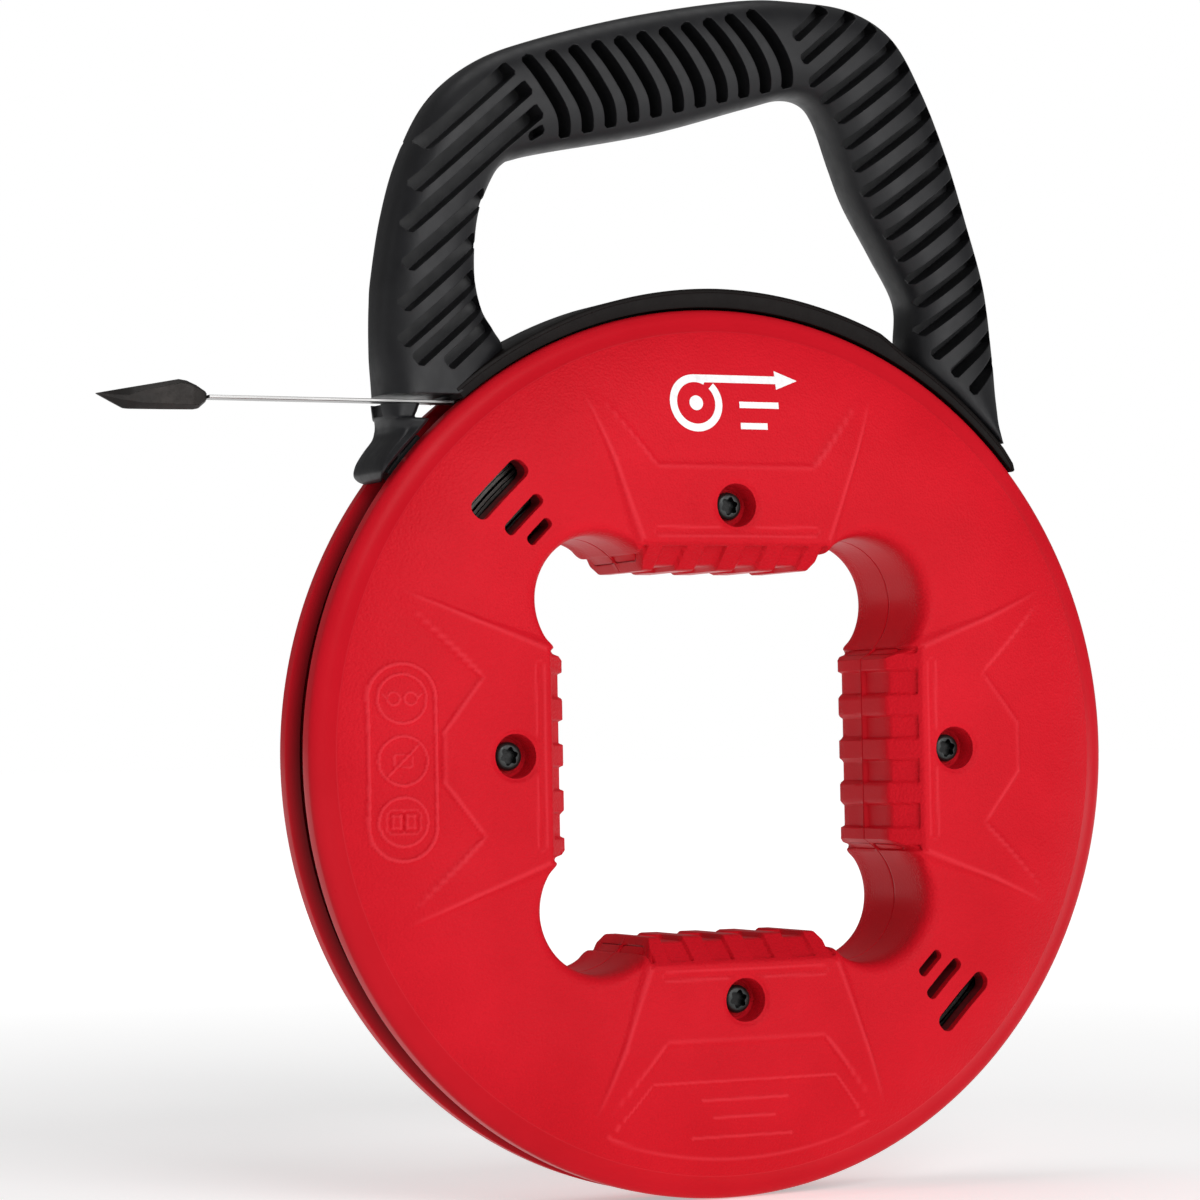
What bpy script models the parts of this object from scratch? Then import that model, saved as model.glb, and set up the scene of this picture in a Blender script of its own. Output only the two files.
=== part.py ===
"""Fish tape reel: a two-shell round case that spins in a fixed handle and pays out a flat steel tape."""
import bmesh
import bpy
from math import asin, atan2, ceil, cos, degrees, pi, radians, sin, sqrt
from mathutils import Matrix, Vector

MM = 0.001

# ---- driving dimensions, in millimetres, measured from the centre of the reel -------------------
CASE_R = 125.0              # outer radius of both shells
WALL = 2.4                  # shell wall
THROAT_R = 121.0            # radius at which the groove is narrowest
THROAT_HALF = 3.7           # half width of the groove there
MOUTH_HALF = 6.45           # half width of the groove at the outside
RIM_HALF = 11.6             # where the cylindrical rim ends and the shoulder starts
FACE_R = 118.2              # where the shoulder ends and the face starts
FACE_HALF = 14.8            # half depth of the case there
FACE_RISE = 7.4             # the face domes up towards the opening by this much
DOME_IN = 58.0              # radius at which the dome is level
DOME_POWER = 4              # how long it stays nearly level before it falls
LAND_HALF = 22.6            # half depth across the flat lands of the four raised panels
LAND_END = 75.0             # distance from the axis at which a land ends
PANEL_END = 97.0            # distance at which the panel has sunk back into the face
PANEL_HALF = 28.0           # half width of a panel at the lip
PANEL_FLARE = 0.4           # how fast it widens outwards
PARTING = 0.15              # half of the gap between the two shells
SHOULDER_R = 122.8          # one point half way round the shoulder
SHOULDER_HALF = 13.7
THROAT_SKIN = 1.4           # the groove wall's skin: how far inside the throat it turns
MOUTH_SKIN = 1.6            # and how far behind the mouth it meets the rim

MID_RING = 84.0             # rings of the face that follow its dome
OUTER_RING = 109.0
EDGE_RING = 114.0
LIP_ROUND = 1.6             # rounding of the opening's edge

LIP_HALF = 58.7             # centre opening: half width across the front lips of the grip bars
BAR_HALF = 51.0             # half width across the grip bars
BAR_DEPTH = 14.0            # half depth of the grip bars' flat face
LOBE_CENTRE = 42.2          # the round corner lobes of the opening
LOBE_R = 18.4
BAR_REACH = 29.0            # degrees to each side of its middle that a grip bar can reach

WINDOWS = ((103.0, 20.0, 4.6), (92.6, 14.0, 3.4), (86.0, 8.6, 3.0))    # radius, length, width
WINDOW_AT = (134.5, 314.5)  # degrees
WINDOW_NOSE = 0.9           # degrees that their pointed ends reach further
WINDOW_DEPTH = (12.5, 22.5) # the cutter's reach through the front wall

SCREW_R = 69.0              # case screws
HEAD_R = 3.7
HEAD_H = 2.6
HEAD_TOP = 17.6             # depth coordinate of the top of the heads, in front of the mid-plane
SHANK_R = 2.0
RECESS_R = 5.2
TOWER_R = 6.6
TOWER_END = 21.4            # the towers run into the face walls
TOWER_FOOT = 3.0            # material under a head's seat
RECESS_END = 26.0           # in front of everything the recess cuts
SCREW_END = 9.0
SOCKET_R = 1.5
SOCKET_DEEP = 1.2
HEAD_EDGE = 1.0             # chamfer round the head
POINT_R = 0.6               # blunt point of every screw
POINT_LENGTH = 1.0
SEAT = HEAD_TOP - HEAD_H

TAPE_Z = 97.9               # height of the tape above the reel's centre
TAPE_W = 6.35
TAPE_T = 0.9
TIP_X = -179.5              # point of the tip
TIP_BASE_X = -149.0
TAPE_END_X = -20.0          # inner end of the straight run
COIL_OUT = 114.3            # wound tape
COIL_IN = 84.0
COIL_HALF = 12.0
LANE_R = 96.4               # the middle lane left free for the run that leaves the coil
LANE_HALF = 4.0
COIL_STEPS = 64

ANCHOR_R = 77.5             # where the tape's inner end is held: radius and degrees
ANCHOR_AT = 22.0
EYE_R = 3.4                 # loop of the clip
CLIP_HALF = 3.0
CLIP_GRIP = 62.0            # degrees from the clip's tail to where the loop leaves it
POST_R = 2.0
POST_HEAD_R = 3.2
POST_HEAD = (3.7, 5.0)      # from and to, in front of the mid-plane

BAND_IN = 125.6             # saddle band over the rims
BAND_OUT = 132.0
BAND_HALF = 12.2
BAND_FROM = 39.5            # degrees
BAND_TO = 127.6
BAND_NOSE = 1.5             # degrees that the band's inner face reaches past its outer one
BAND_EDGE = 1.2
BAND_SKIN = 1.4             # material left over the blind bore
HANDLE_HALF = 12.0
HANDLE_ROUND = 4.6
GAP = 0.3                   # clearance between touching pieces
OVER = 1.0                  # how far a cutter reaches past what it cuts

SEGMENTS = 80
CENTRE = Vector((-(TIP_X + CASE_R) / 2, 0.0, CASE_R)) * MM

RED = (0.62, 0.012, 0.022)
BLACK = (0.018, 0.018, 0.020)
STEEL = (0.55, 0.55, 0.56)
DARK_STEEL = (0.055, 0.045, 0.040)
SCREW_BLACK = (0.012, 0.012, 0.013)
SHOE_BLACK = (0.03, 0.03, 0.032)


# ---- general helpers -----------------------------------------------------------------------------
def clear_scene():
    for obj in list(bpy.data.objects):
        bpy.data.objects.remove(obj, do_unlink=True)


def collection(name):
    made = bpy.data.collections.new(name)
    bpy.context.scene.collection.children.link(made)
    return made


def material(name, colour, roughness, metallic):
    made = bpy.data.materials.new(name)
    made.use_nodes = True
    shader = made.node_tree.nodes["Principled BSDF"]
    shader.inputs["Base Color"].default_value = (*colour, 1.0)
    shader.inputs["Roughness"].default_value = roughness
    shader.inputs["Metallic"].default_value = metallic
    return made


def empty(name, location, parent=None):
    made = bpy.data.objects.new(name, None)
    made.location = location
    made.parent = parent
    PARTS.objects.link(made)
    return made


def place(name, mesh, parent, colour, roughness, metallic=0.0, angle=40):
    """Link a mesh as a part under its parent empty, with a material of its own."""
    obj = bpy.data.objects.new(name, mesh)
    obj.parent = parent
    PARTS.objects.link(obj)
    mesh.materials.clear()
    mesh.materials.append(material(name, colour, roughness, metallic))
    mesh.shade_smooth()
    mesh.set_sharp_from_angle(angle=radians(angle))
    return obj


def mesh_from(bm, name):
    """Write a bmesh made in millimetres to a mesh in metres."""
    bmesh.ops.recalc_face_normals(bm, faces=bm.faces)
    bmesh.ops.scale(bm, vec=(MM, MM, MM), verts=bm.verts)
    mesh = bpy.data.meshes.new(name)
    bm.to_mesh(mesh)
    bm.free()
    return mesh


def polar(radius, angle):
    """Point (x, z) at a radius and an angle in degrees about the reel's axis."""
    return radius * cos(radians(angle)), radius * sin(radians(angle))


def arc(radius, start, end, step=4.0):
    """Points (x, z) along an arc in degrees about the reel's axis, both ends included."""
    count = max(1, ceil(abs(end - start) / step))
    return [polar(radius, start + (end - start) * i / count) for i in range(count + 1)]


def circle(cx, cz, radius, count):
    return [(cx + radius * cos(2 * pi * i / count), cz + radius * sin(2 * pi * i / count))
            for i in range(count)]


def smooth_run(points, steps=2):
    """Catmull-Rom points through an open run of (x, z) points."""
    ends = [points[0], *points, points[-1]]
    out = []
    for a, b, c, d in zip(ends, ends[1:], ends[2:], ends[3:]):
        for i in range(steps):
            t = i / steps
            out.append(tuple(0.5 * (2 * b[k] + (c[k] - a[k]) * t
                                    + (2 * a[k] - 5 * b[k] + 4 * c[k] - d[k]) * t * t
                                    + (3 * b[k] - a[k] - 3 * c[k] + d[k]) * t ** 3)
                             for k in (0, 1)))
    return [*out, points[-1]]


def plate(name, outlines, half):
    """Solid plate in the plane of the reel: closed outlines of (x, z), extruded to half each way."""
    curve = bpy.data.curves.new(name, "CURVE")
    curve.dimensions = "2D"
    curve.fill_mode = "BOTH"
    curve.extrude = half * MM
    for outline in outlines:
        spline = curve.splines.new("POLY")
        spline.points.add(len(outline) - 1)
        for point, (x, z) in zip(spline.points, outline):
            point.co = (x * MM, z * MM, 0.0, 1.0)
        spline.use_cyclic_u = True
    flat = bpy.data.objects.new(name, curve)
    CUTTERS.objects.link(flat)
    evaluated = flat.evaluated_get(bpy.context.evaluated_depsgraph_get())
    mesh = bpy.data.meshes.new_from_object(evaluated)
    bpy.data.objects.remove(flat, do_unlink=True)
    bm = bmesh.new()
    bm.from_mesh(mesh)
    bmesh.ops.remove_doubles(bm, verts=bm.verts, dist=1e-6)
    bmesh.ops.rotate(bm, matrix=Matrix.Rotation(pi / 2, 3, "X"), verts=bm.verts)
    bmesh.ops.recalc_face_normals(bm, faces=bm.faces)
    bm.to_mesh(mesh)
    bm.free()
    return mesh


def cylinder(bm, x, z, radius, y_from, y_to, segments=20):
    """Closed cylinder along the depth axis."""
    move = Matrix.Translation((x, (y_from + y_to) / 2, z)) @ Matrix.Rotation(pi / 2, 4, "X")
    bmesh.ops.create_cone(bm, cap_ends=True, segments=segments, radius1=radius, radius2=radius,
                          depth=abs(y_to - y_from), matrix=move)


def helper(name, mesh):
    """A cutter or a boss: not a part of its own."""
    obj = bpy.data.objects.new(name, mesh)
    obj.hide_render = True
    obj.display_type = "WIRE"
    CUTTERS.objects.link(obj)
    return obj


def boolean(obj, other, operation, solver="EXACT"):
    other.location = obj.parent.location
    step = obj.modifiers.new(other.name, "BOOLEAN")
    step.operation = operation
    step.solver = solver
    step.object = other


def bevel(obj, width, segments=2, angle=30):
    step = obj.modifiers.new("rounded edges", "BEVEL")
    step.width = width * MM
    step.segments = segments
    step.limit_method = "ANGLE"
    step.angle_limit = radians(angle)


# ---- case shells ---------------------------------------------------------------------------------
def opening_radius(theta, bar_half):
    """Distance from the axis to the centre opening's edge: four grip bars and four round lobes."""
    off_axis = abs((theta + pi / 4) % (pi / 2) - pi / 4)
    to_lobe = pi / 4 - off_axis
    reach = LOBE_CENTRE * sqrt(2)
    bar = bar_half / cos(off_axis)
    if reach * sin(to_lobe) >= LOBE_R:
        return bar
    lobe = reach * cos(to_lobe) + sqrt(LOBE_R ** 2 - (reach * sin(to_lobe)) ** 2)
    return lobe if off_axis > radians(BAR_REACH) else max(bar, lobe)


def face_depth(radius, theta):
    """Half depth of the case at a point of its face: a shallow dome with four raised panels."""
    dome = FACE_HALF + FACE_RISE * (1 - ((radius - DOME_IN) / (FACE_R - DOME_IN)) ** DOME_POWER)
    off_axis = abs((theta + pi / 4) % (pi / 2) - pi / 4)
    along, across = radius * cos(off_axis), radius * sin(off_axis)
    if across > PANEL_HALF + PANEL_FLARE * (along - LIP_HALF):
        return dome
    sunk = min(1.0, max(0.0, (radius - LAND_END) / (PANEL_END - LAND_END)))
    return LAND_HALF + (dome - LAND_HALF) * sunk


def shell_section(theta):
    """Closed (radius, depth) section of a shell at one angle: outer skin, then inner skin."""
    lip = opening_radius(theta, LIP_HALF)
    wall = opening_radius(theta, BAR_HALF)
    lip_depth = face_depth(lip, theta)
    outer = [(THROAT_R, THROAT_HALF), (CASE_R, MOUTH_HALF), (CASE_R, RIM_HALF),
             (SHOULDER_R, SHOULDER_HALF), (FACE_R, FACE_HALF)]
    rings = (EDGE_RING, OUTER_RING, PANEL_END, MID_RING, max(LAND_END, lip + 2 * LIP_ROUND))
    for radius in (*rings, lip + LIP_ROUND):
        outer.append((radius, face_depth(radius, theta)))
    outer += [(lip, lip_depth - LIP_ROUND), (wall, BAR_DEPTH), (wall, PARTING)]
    inner = [(wall + WALL, PARTING), (wall + WALL, BAR_DEPTH - WALL / 2),
             (lip + WALL, lip_depth - WALL * 1.2)]
    for radius in (MID_RING, PANEL_END, OUTER_RING):
        inner.append((radius, face_depth(radius, theta) - WALL))
    inner += [(FACE_R - WALL / 2, FACE_HALF - WALL), (SHOULDER_R - WALL / 2, RIM_HALF),
              (CASE_R - WALL, MOUTH_HALF + MOUTH_SKIN),
              (THROAT_R - THROAT_SKIN, THROAT_HALF + MOUTH_SKIN)]
    return outer + inner


def shell_loft(name, side):
    """One shell, lofted round the axis because its centre opening isn't round."""
    bm = bmesh.new()
    columns = []
    for i in range(SEGMENTS):
        theta = 2 * pi * i / SEGMENTS
        columns.append([bm.verts.new((r * cos(theta), side * depth, r * sin(theta)))
                        for r, depth in shell_section(theta)])
    for here, there in zip(columns, columns[1:] + columns[:1]):
        for a, b, c, d in zip(here, here[1:] + here[:1], there[1:] + there[:1], there):
            bm.faces.new((a, b, c, d))
    return mesh_from(bm, name)


def screw_places():
    return {"right": polar(SCREW_R, 0), "top": polar(SCREW_R, 90),
            "left": polar(SCREW_R, 180), "bottom": polar(SCREW_R, 270)}


def boss_cylinders(name, radius, y_from, y_to, segments=20):
    bm = bmesh.new()
    for x, z in screw_places().values():
        cylinder(bm, x, z, radius, y_from, y_to, segments)
    return helper(name, mesh_from(bm, name))


def window_cutter():
    """Three curved slots in the upper left of the front face, and the same turned half round."""
    outlines = []
    for radius, length, width in WINDOWS:
        spread = degrees(length / 2 / radius)
        for middle in WINDOW_AT:
            inner = arc(radius - width / 2, middle - spread, middle + spread)
            outer = arc(radius + width / 2, middle + spread, middle - spread)
            outlines.append(inner + [polar(radius, middle + spread + WINDOW_NOSE)]
                            + outer + [polar(radius, middle - spread - WINDOW_NOSE)])
    near, far = WINDOW_DEPTH
    mesh = plate("windows", outlines, (far - near) / 2)
    mesh.transform(Matrix.Translation((0, -(near + far) / 2 * MM, 0)))
    return helper("windows", mesh)


def front_shell():
    obj = place("front_shell", shell_loft("front_shell", -1), CASE, RED, 0.42)
    boolean(obj, boss_cylinders("front_towers", TOWER_R, -SEAT + TOWER_FOOT, -TOWER_END), "UNION")
    boolean(obj, boss_cylinders("front_recesses", RECESS_R, -SEAT + GAP, -RECESS_END), "DIFFERENCE")
    boolean(obj, boss_cylinders("front_holes", SHANK_R + GAP, 0.0, -SEAT - OVER), "DIFFERENCE")
    boolean(obj, window_cutter(), "DIFFERENCE")


def rear_shell():
    obj = place("rear_shell", shell_loft("rear_shell", 1), CASE, RED, 0.42)
    foot = -SEAT + TOWER_FOOT + GAP
    boolean(obj, boss_cylinders("rear_bosses", TOWER_R, foot, TOWER_END), "UNION")
    boolean(obj, boss_cylinders("rear_holes", SHANK_R + GAP, -SEAT, SCREW_END + OVER), "DIFFERENCE")


def case_screws():
    profile = [(0.0, HEAD_TOP - SOCKET_DEEP), (SOCKET_R, HEAD_TOP - SOCKET_DEEP), (SOCKET_R, HEAD_TOP),
               (HEAD_R - HEAD_EDGE, HEAD_TOP), (HEAD_R, HEAD_TOP - HEAD_EDGE), (HEAD_R, SEAT),
               (SHANK_R, SEAT), (SHANK_R, -SCREW_END + POINT_LENGTH), (POINT_R, -SCREW_END),
               (0.0, -SCREW_END)]
    for side, (x, z) in screw_places().items():
        bm = bmesh.new()
        turned(bm, profile, 16)
        mesh = mesh_from(bm, "case_screw_" + side)
        mesh.transform(Matrix.Translation((x * MM, 0, z * MM)))
        place("case_screw_" + side, mesh, CASE, SCREW_BLACK, 0.35, 0.6)


def turned(bm, profile, segments):
    """Spin a profile of (radius, forward) points about the depth axis, poles on the axis."""
    verts = [bm.verts.new((r, -forward, 0.0)) for r, forward in profile]
    edges = [bm.edges.new(pair) for pair in zip(verts, verts[1:])]
    bmesh.ops.spin(bm, geom=verts + edges, cent=(0, 0, 0), axis=(0, 1, 0), angle=2 * pi,
                   steps=segments, use_merge=True)
    bmesh.ops.remove_doubles(bm, verts=bm.verts, dist=1e-4)


# ---- wound tape and its anchor -------------------------------------------------------------------
def tape_coil():
    """The wound tape as one ring, with a free lane in the middle for the run that leaves it."""
    profile = [(COIL_OUT, COIL_HALF), (COIL_OUT, LANE_HALF), (LANE_R, LANE_HALF),
               (LANE_R, -LANE_HALF), (COIL_OUT, -LANE_HALF), (COIL_OUT, -COIL_HALF),
               (COIL_IN, -COIL_HALF), (COIL_IN, COIL_HALF)]
    mesh = bpy.data.meshes.new("tape_coil")
    count = len(profile)
    mesh.from_pydata([(r * MM, 0.0, y * MM) for r, y in profile],
                     [(i, (i + 1) % count) for i in range(count)], [])
    obj = place("tape_coil", mesh, CASE, DARK_STEEL, 0.35, 0.9)
    obj.rotation_euler = (pi / 2, 0, 0)
    ring = obj.modifiers.new("ring", "SCREW")
    ring.steps = ring.render_steps = COIL_STEPS
    ring.use_merge_vertices = True
    ring.merge_threshold = 0.0001
    return obj


def tape_anchor():
    """A steel clip on the coil's inner end, looped round a post that stands on the rear shell."""
    eye = Vector(polar(ANCHOR_R, ANCHOR_AT))
    tail = Vector(polar(COIL_IN - GAP, ANCHOR_AT))
    away = (tail - eye).normalized()
    side = Vector((-away.y, away.x)) * CLIP_HALF
    outline = [tuple(tail + side), tuple(tail - side)]
    start = degrees(atan2(away.y, away.x)) - CLIP_GRIP
    loop = arc(EYE_R, start, start + 2 * CLIP_GRIP - 360, 15.0)
    outline += [(eye.x + x, eye.y + z) for x, z in loop]
    hole = circle(eye.x, eye.y, POST_R + GAP, 12)
    place("tape_anchor_clip", plate("tape_anchor_clip", [outline, hole], TAPE_W / 2), CASE, STEEL, 0.4, 0.9)
    bm = bmesh.new()
    back = face_depth(MID_RING, radians(ANCHOR_AT)) - WALL - 2 * GAP
    under, top = POST_HEAD
    turned(bm, [(0.0, top), (POST_HEAD_R, top), (POST_HEAD_R, under), (POST_R, under),
                (POST_R, -back), (0.0, -back)], 12)
    mesh = mesh_from(bm, "tape_anchor_post")
    mesh.transform(Matrix.Translation((eye.x * MM, 0, eye.y * MM)))
    place("tape_anchor_post", mesh, CASE, STEEL, 0.4, 0.9)


# ---- handle side ---------------------------------------------------------------------------------
HANDLE_OUTER = [(-98.8, 98.8), (-100.2, 112.0), (-99.0, 132.0), (-95.9, 149.0), (-90.9, 165.5),
                (-82.2, 181.8), (-69.0, 193.0), (-51.5, 200.2), (-20.8, 208.8), (12.0, 215.2),
                (30.5, 216.5), (46.0, 213.4), (58.0, 204.4), (68.0, 190.0), (76.6, 172.5),
                (84.4, 152.5), (89.6, 134.0), (92.4, 114.0), (94.4, 92.7)]
HANDLE_INNER = [(66.8, 114.2), (66.6, 121.0), (67.0, 130.2), (60.3, 141.8), (52.6, 153.3),
                (47.0, 165.0), (43.6, 176.5), (38.0, 185.8), (28.5, 188.0), (10.0, 182.6),
                (-14.0, 175.8), (-40.0, 170.6), (-56.0, 166.8), (-65.2, 160.6), (-70.0, 149.0),
                (-71.3, 135.5), (-69.0, 122.5), (-65.2, 115.1)]


RIGHT_FOOT = (44.4, 59.6)   # degrees
LEFT_FOOT = (119.6, 127.95)
JAW_BACK = (-78.5, 98.8)
JAW_EDGE = 98.5             # height of the edge the lower jaw shares with the upper one
HANDLE_BORE_END = 139.0


def handle():
    """One-piece bow. Its right foot sits on the saddle band, its left foot is the upper jaw."""
    seat = BAND_OUT + GAP
    right_foot = arc(seat, *RIGHT_FOOT)
    left_foot = arc(seat, *LEFT_FOOT)
    jaw = [JAW_BACK]
    outline = (smooth_run(HANDLE_OUTER)[:-1] + right_foot[:-1] + smooth_run(HANDLE_INNER)[:-1]
               + left_foot + jaw)
    obj = place("handle", plate("handle", [outline], HANDLE_HALF), HANDLE, BLACK, 0.5)
    bevel(obj, HANDLE_ROUND, angle=60)
    bore = foot_bore("handle_bore", RIGHT_SHOE, BAND_IN + OVER, HANDLE_BORE_END)
    boolean(obj, bore, "DIFFERENCE")


def saddle_band():
    outline = arc(BAND_OUT, BAND_FROM + BAND_NOSE, BAND_TO) + arc(BAND_IN, BAND_TO, BAND_FROM)
    obj = place("saddle_band", plate("saddle_band", [outline], BAND_HALF), HANDLE, BLACK, 0.4)
    bevel(obj, BAND_EDGE, segments=1, angle=60)
    through = foot_bore("band_bore", RIGHT_SHOE, BAND_IN - OVER, BAND_OUT + OVER)
    blind = foot_bore("band_blind_bore", TOP_SHOE, BAND_IN - OVER, BAND_OUT - BAND_SKIN)
    boolean(obj, through, "DIFFERENCE")
    boolean(obj, blind, "DIFFERENCE")


GUIDE_OUTER = [(-97.6, JAW_EDGE), (-98.4, 92.0), (-101.6, 85.0), (-104.2, 79.6), (-103.6, 75.6),
               (-100.9, 74.8)]
GUIDE_TOP = [(-91.2, 93.2), (-88.4, JAW_EDGE)]
GUIDE_FROM = 143.4          # degrees
GUIDE_UNDER = 4.6           # the tongue's inner face ends this far under the tape's mid-height
GUIDE_EDGE = 1.0
SLOT_LENGTH = 40.0          # cutter of the tape's slot
SLOT_HEIGHT = 10.0
SLOT_X = -95.0
SLOT_PLAY = 0.6


def tape_slot():
    """Cutter of the slot between the two ears; its floor is just under the tape."""
    bm = bmesh.new()
    bmesh.ops.create_cube(bm, size=1.0)
    bmesh.ops.scale(bm, vec=(SLOT_LENGTH, TAPE_W + 2 * SLOT_PLAY, SLOT_HEIGHT), verts=bm.verts)
    floor = TAPE_Z - TAPE_T / 2 - SLOT_PLAY
    bmesh.ops.translate(bm, vec=(SLOT_X, 0.0, floor + SLOT_HEIGHT / 2), verts=bm.verts)
    return helper("tape_slot", mesh_from(bm, "tape_slot"))


def tape_guide():
    """Lower jaw and tongue under the tape: a slot for the tape between two ears."""
    underside = degrees(asin((TAPE_Z - TAPE_T / 2 - GUIDE_UNDER) / BAND_IN))
    outline = smooth_run(GUIDE_OUTER) + arc(BAND_IN, GUIDE_FROM, 180 - underside) + GUIDE_TOP
    obj = place("tape_guide", plate("tape_guide", [outline], HANDLE_HALF), HANDLE, BLACK, 0.45)
    bevel(obj, GUIDE_EDGE, segments=1, angle=60)
    boolean(obj, tape_slot(), "DIFFERENCE")
    bore = foot_bore("guide_bore", LEFT_SHOE, BAND_IN - OVER, BAND_IN + GUIDE_BORE)
    boolean(obj, bore, "DIFFERENCE")


# ---- shoes that hold the handle in the groove ----------------------------------------------------
RIGHT_SHOE, TOP_SHOE, LEFT_SHOE = 50.0, 90.0, 138.2
SHOES = {"right": (RIGHT_SHOE, 6.0, 137.6), "top": (TOP_SHOE, 6.0, BAND_OUT - 2.0),
         "left": (LEFT_SHOE, 3.6, BAND_IN + 4.0)}        # angle, half spread, end of the screw
GUIDE_BORE = 4.6            # depth of the blind bore in the guide
STEM_HALF = 3.3
STEM_SHORT = 0.4            # degrees that a stem is shorter than its head
SHOE_HALF = 9.0
SHOE_IN = 115.4
SHOE_HEAD = 119.1
BORE_R = 1.5
SEAT_R = 3.0                # counterbore for the screw's head
SEAT_DEEP = 2.0
SHOE_SCREW_HEAD_R = 2.6
SHOE_SCREW_HEAD_H = 1.3
SHOE_SCREW_SUNK = 0.2
SHOE_SOCKET_R = 1.0
SHOE_SOCKET_DEEP = 0.8


def radial(angle, mesh):
    """Turn a mesh built along +X so that it points out from the axis at the given angle."""
    mesh.transform(Matrix.Rotation(-radians(angle), 4, "Y"))
    return mesh


def radial_cylinder(name, angle, radius, r_from, r_to, segments=12):
    bm = bmesh.new()
    direction = Matrix.Rotation(-radians(angle), 4, "Y")
    along = Matrix.Translation(((r_from + r_to) / 2, 0, 0)) @ Matrix.Rotation(pi / 2, 4, "Y")
    bmesh.ops.create_cone(bm, cap_ends=True, segments=segments, radius1=radius, radius2=radius,
                          depth=r_to - r_from, matrix=direction @ along)
    return helper(name, mesh_from(bm, name))


def foot_bore(name, angle, r_from, r_to):
    return radial_cylinder(name, angle, BORE_R + GAP, r_from, r_to)


def sector(name, r_from, r_to, angle, spread, half):
    """Plate between two radii, spread degrees to each side of a direction."""
    outline = arc(r_to, angle - spread, angle + spread) + arc(r_from, angle + spread, angle - spread)
    return plate(name, [outline], half)


def groove_shoe(side, angle, spread):
    """T-section slider: the stem passes the groove's throat, the head is caught behind it."""
    name = "groove_shoe_" + side
    head = sector(name, SHOE_IN, SHOE_HEAD, angle, spread, SHOE_HALF)
    stem = sector(name + "_stem", SHOE_HEAD - OVER, BAND_IN - GAP, angle, spread - STEM_SHORT, STEM_HALF)
    obj = place(name, head, HANDLE, SHOE_BLACK, 0.35)
    boolean(obj, helper(name + "_stem", stem), "UNION")
    boolean(obj, foot_bore(name + "_bore", angle, SHOE_IN - OVER, BAND_IN + OVER), "DIFFERENCE")
    seat = radial_cylinder(name + "_seat", angle, SEAT_R, SHOE_IN - OVER, SHOE_IN + SEAT_DEEP)
    boolean(obj, seat, "DIFFERENCE", "MANIFOLD")


def shoe_screw(side, angle, tip):
    """Screw driven outwards through the shoe, with its head sunk in the shoe's underside."""
    name = "shoe_screw_" + side
    bm = bmesh.new()
    top = SHOE_IN + SHOE_SCREW_SUNK
    under = top + SHOE_SCREW_HEAD_H + SHOE_SCREW_SUNK
    turned(bm, [(0.0, top + SHOE_SOCKET_DEEP), (SHOE_SOCKET_R, top + SHOE_SOCKET_DEEP),
                (SHOE_SOCKET_R, top), (SHOE_SCREW_HEAD_R, top), (SHOE_SCREW_HEAD_R, under),
                (BORE_R, under), (BORE_R, tip - POINT_LENGTH), (POINT_R, tip), (0.0, tip)], 12)
    mesh = mesh_from(bm, name)
    mesh.transform(Matrix.Rotation(-pi / 2, 4, "Z") @ Matrix.Scale(-1, 4, (0, 1, 0)))
    mesh.flip_normals()
    place(name, radial(angle, mesh), HANDLE, STEEL, 0.35, 0.9)


def shoes():
    for side, (angle, spread, screw_tip) in SHOES.items():
        groove_shoe(side, angle, spread)
        shoe_screw(side, angle, screw_tip)


# ---- tape that leaves the reel -------------------------------------------------------------------
STRIP_END_CUT = (6.0, 0.3)  # the inner end thins down: over this length, to this thickness

# The tip's blunt edge all round, and the smaller outline of its two flat faces.
TIP_EDGE = [(TIP_X, 0.4), (-156.2, 4.8), (-151.5, 3.4), (TIP_BASE_X, 1.6),
            (TIP_BASE_X, -1.4), (-151.3, -3.4), (-172.0, -3.6)]
TIP_FACE = [(TIP_X + 7.5, 0.2), (-156.4, 3.2), (-152.0, 2.2), (TIP_BASE_X - 1.0, 1.2),
            (TIP_BASE_X - 1.0, -1.0), (-151.8, -2.2), (-170.0, -2.4)]
TIP_EDGE_HALF = 0.5
TIP_HALF = 2.4


def tape_strip():
    start = TIP_BASE_X + GAP
    length, thin = STRIP_END_CUT
    outline = [(start, TAPE_T / 2), (TAPE_END_X - length, TAPE_T / 2),
               (TAPE_END_X, -TAPE_T / 2 + thin), (TAPE_END_X, -TAPE_T / 2), (start, -TAPE_T / 2)]
    place("tape_strip", plate("tape_strip", [outline], TAPE_W / 2), TAPE, STEEL, 0.25, 1.0)


def tape_tip():
    """Flat spear: two flat faces that taper to a blunt edge all round."""
    bm = bmesh.new()
    for outline, half in ((TIP_EDGE, TIP_EDGE_HALF), (TIP_FACE, TIP_HALF)):
        for x, z in outline:
            bm.verts.new((x, half, z))
            bm.verts.new((x, -half, z))
    bmesh.ops.convex_hull(bm, input=bm.verts)
    place("tape_tip", mesh_from(bm, "tape_tip"), TAPE, DARK_STEEL, 0.4, 0.8, angle=15)


clear_scene()
PARTS = collection("fish_tape_reel")
CUTTERS = collection("cutters")
HANDLE = empty("handle_frame", CENTRE)
CASE = empty("case_axis", CENTRE)
TAPE = empty("tape_line", CENTRE + Vector((0, 0, TAPE_Z * MM)))
front_shell()
rear_shell()
case_screws()
tape_coil()
tape_anchor()
handle()
saddle_band()
tape_guide()
shoes()
tape_strip()
tape_tip()
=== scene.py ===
"""Fish tape reel: the finished look of every piece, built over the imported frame."""
from math import cos, pi, radians, sin, sqrt

import bmesh
import bpy
import numpy as np
from mathutils import Matrix, Vector


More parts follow.
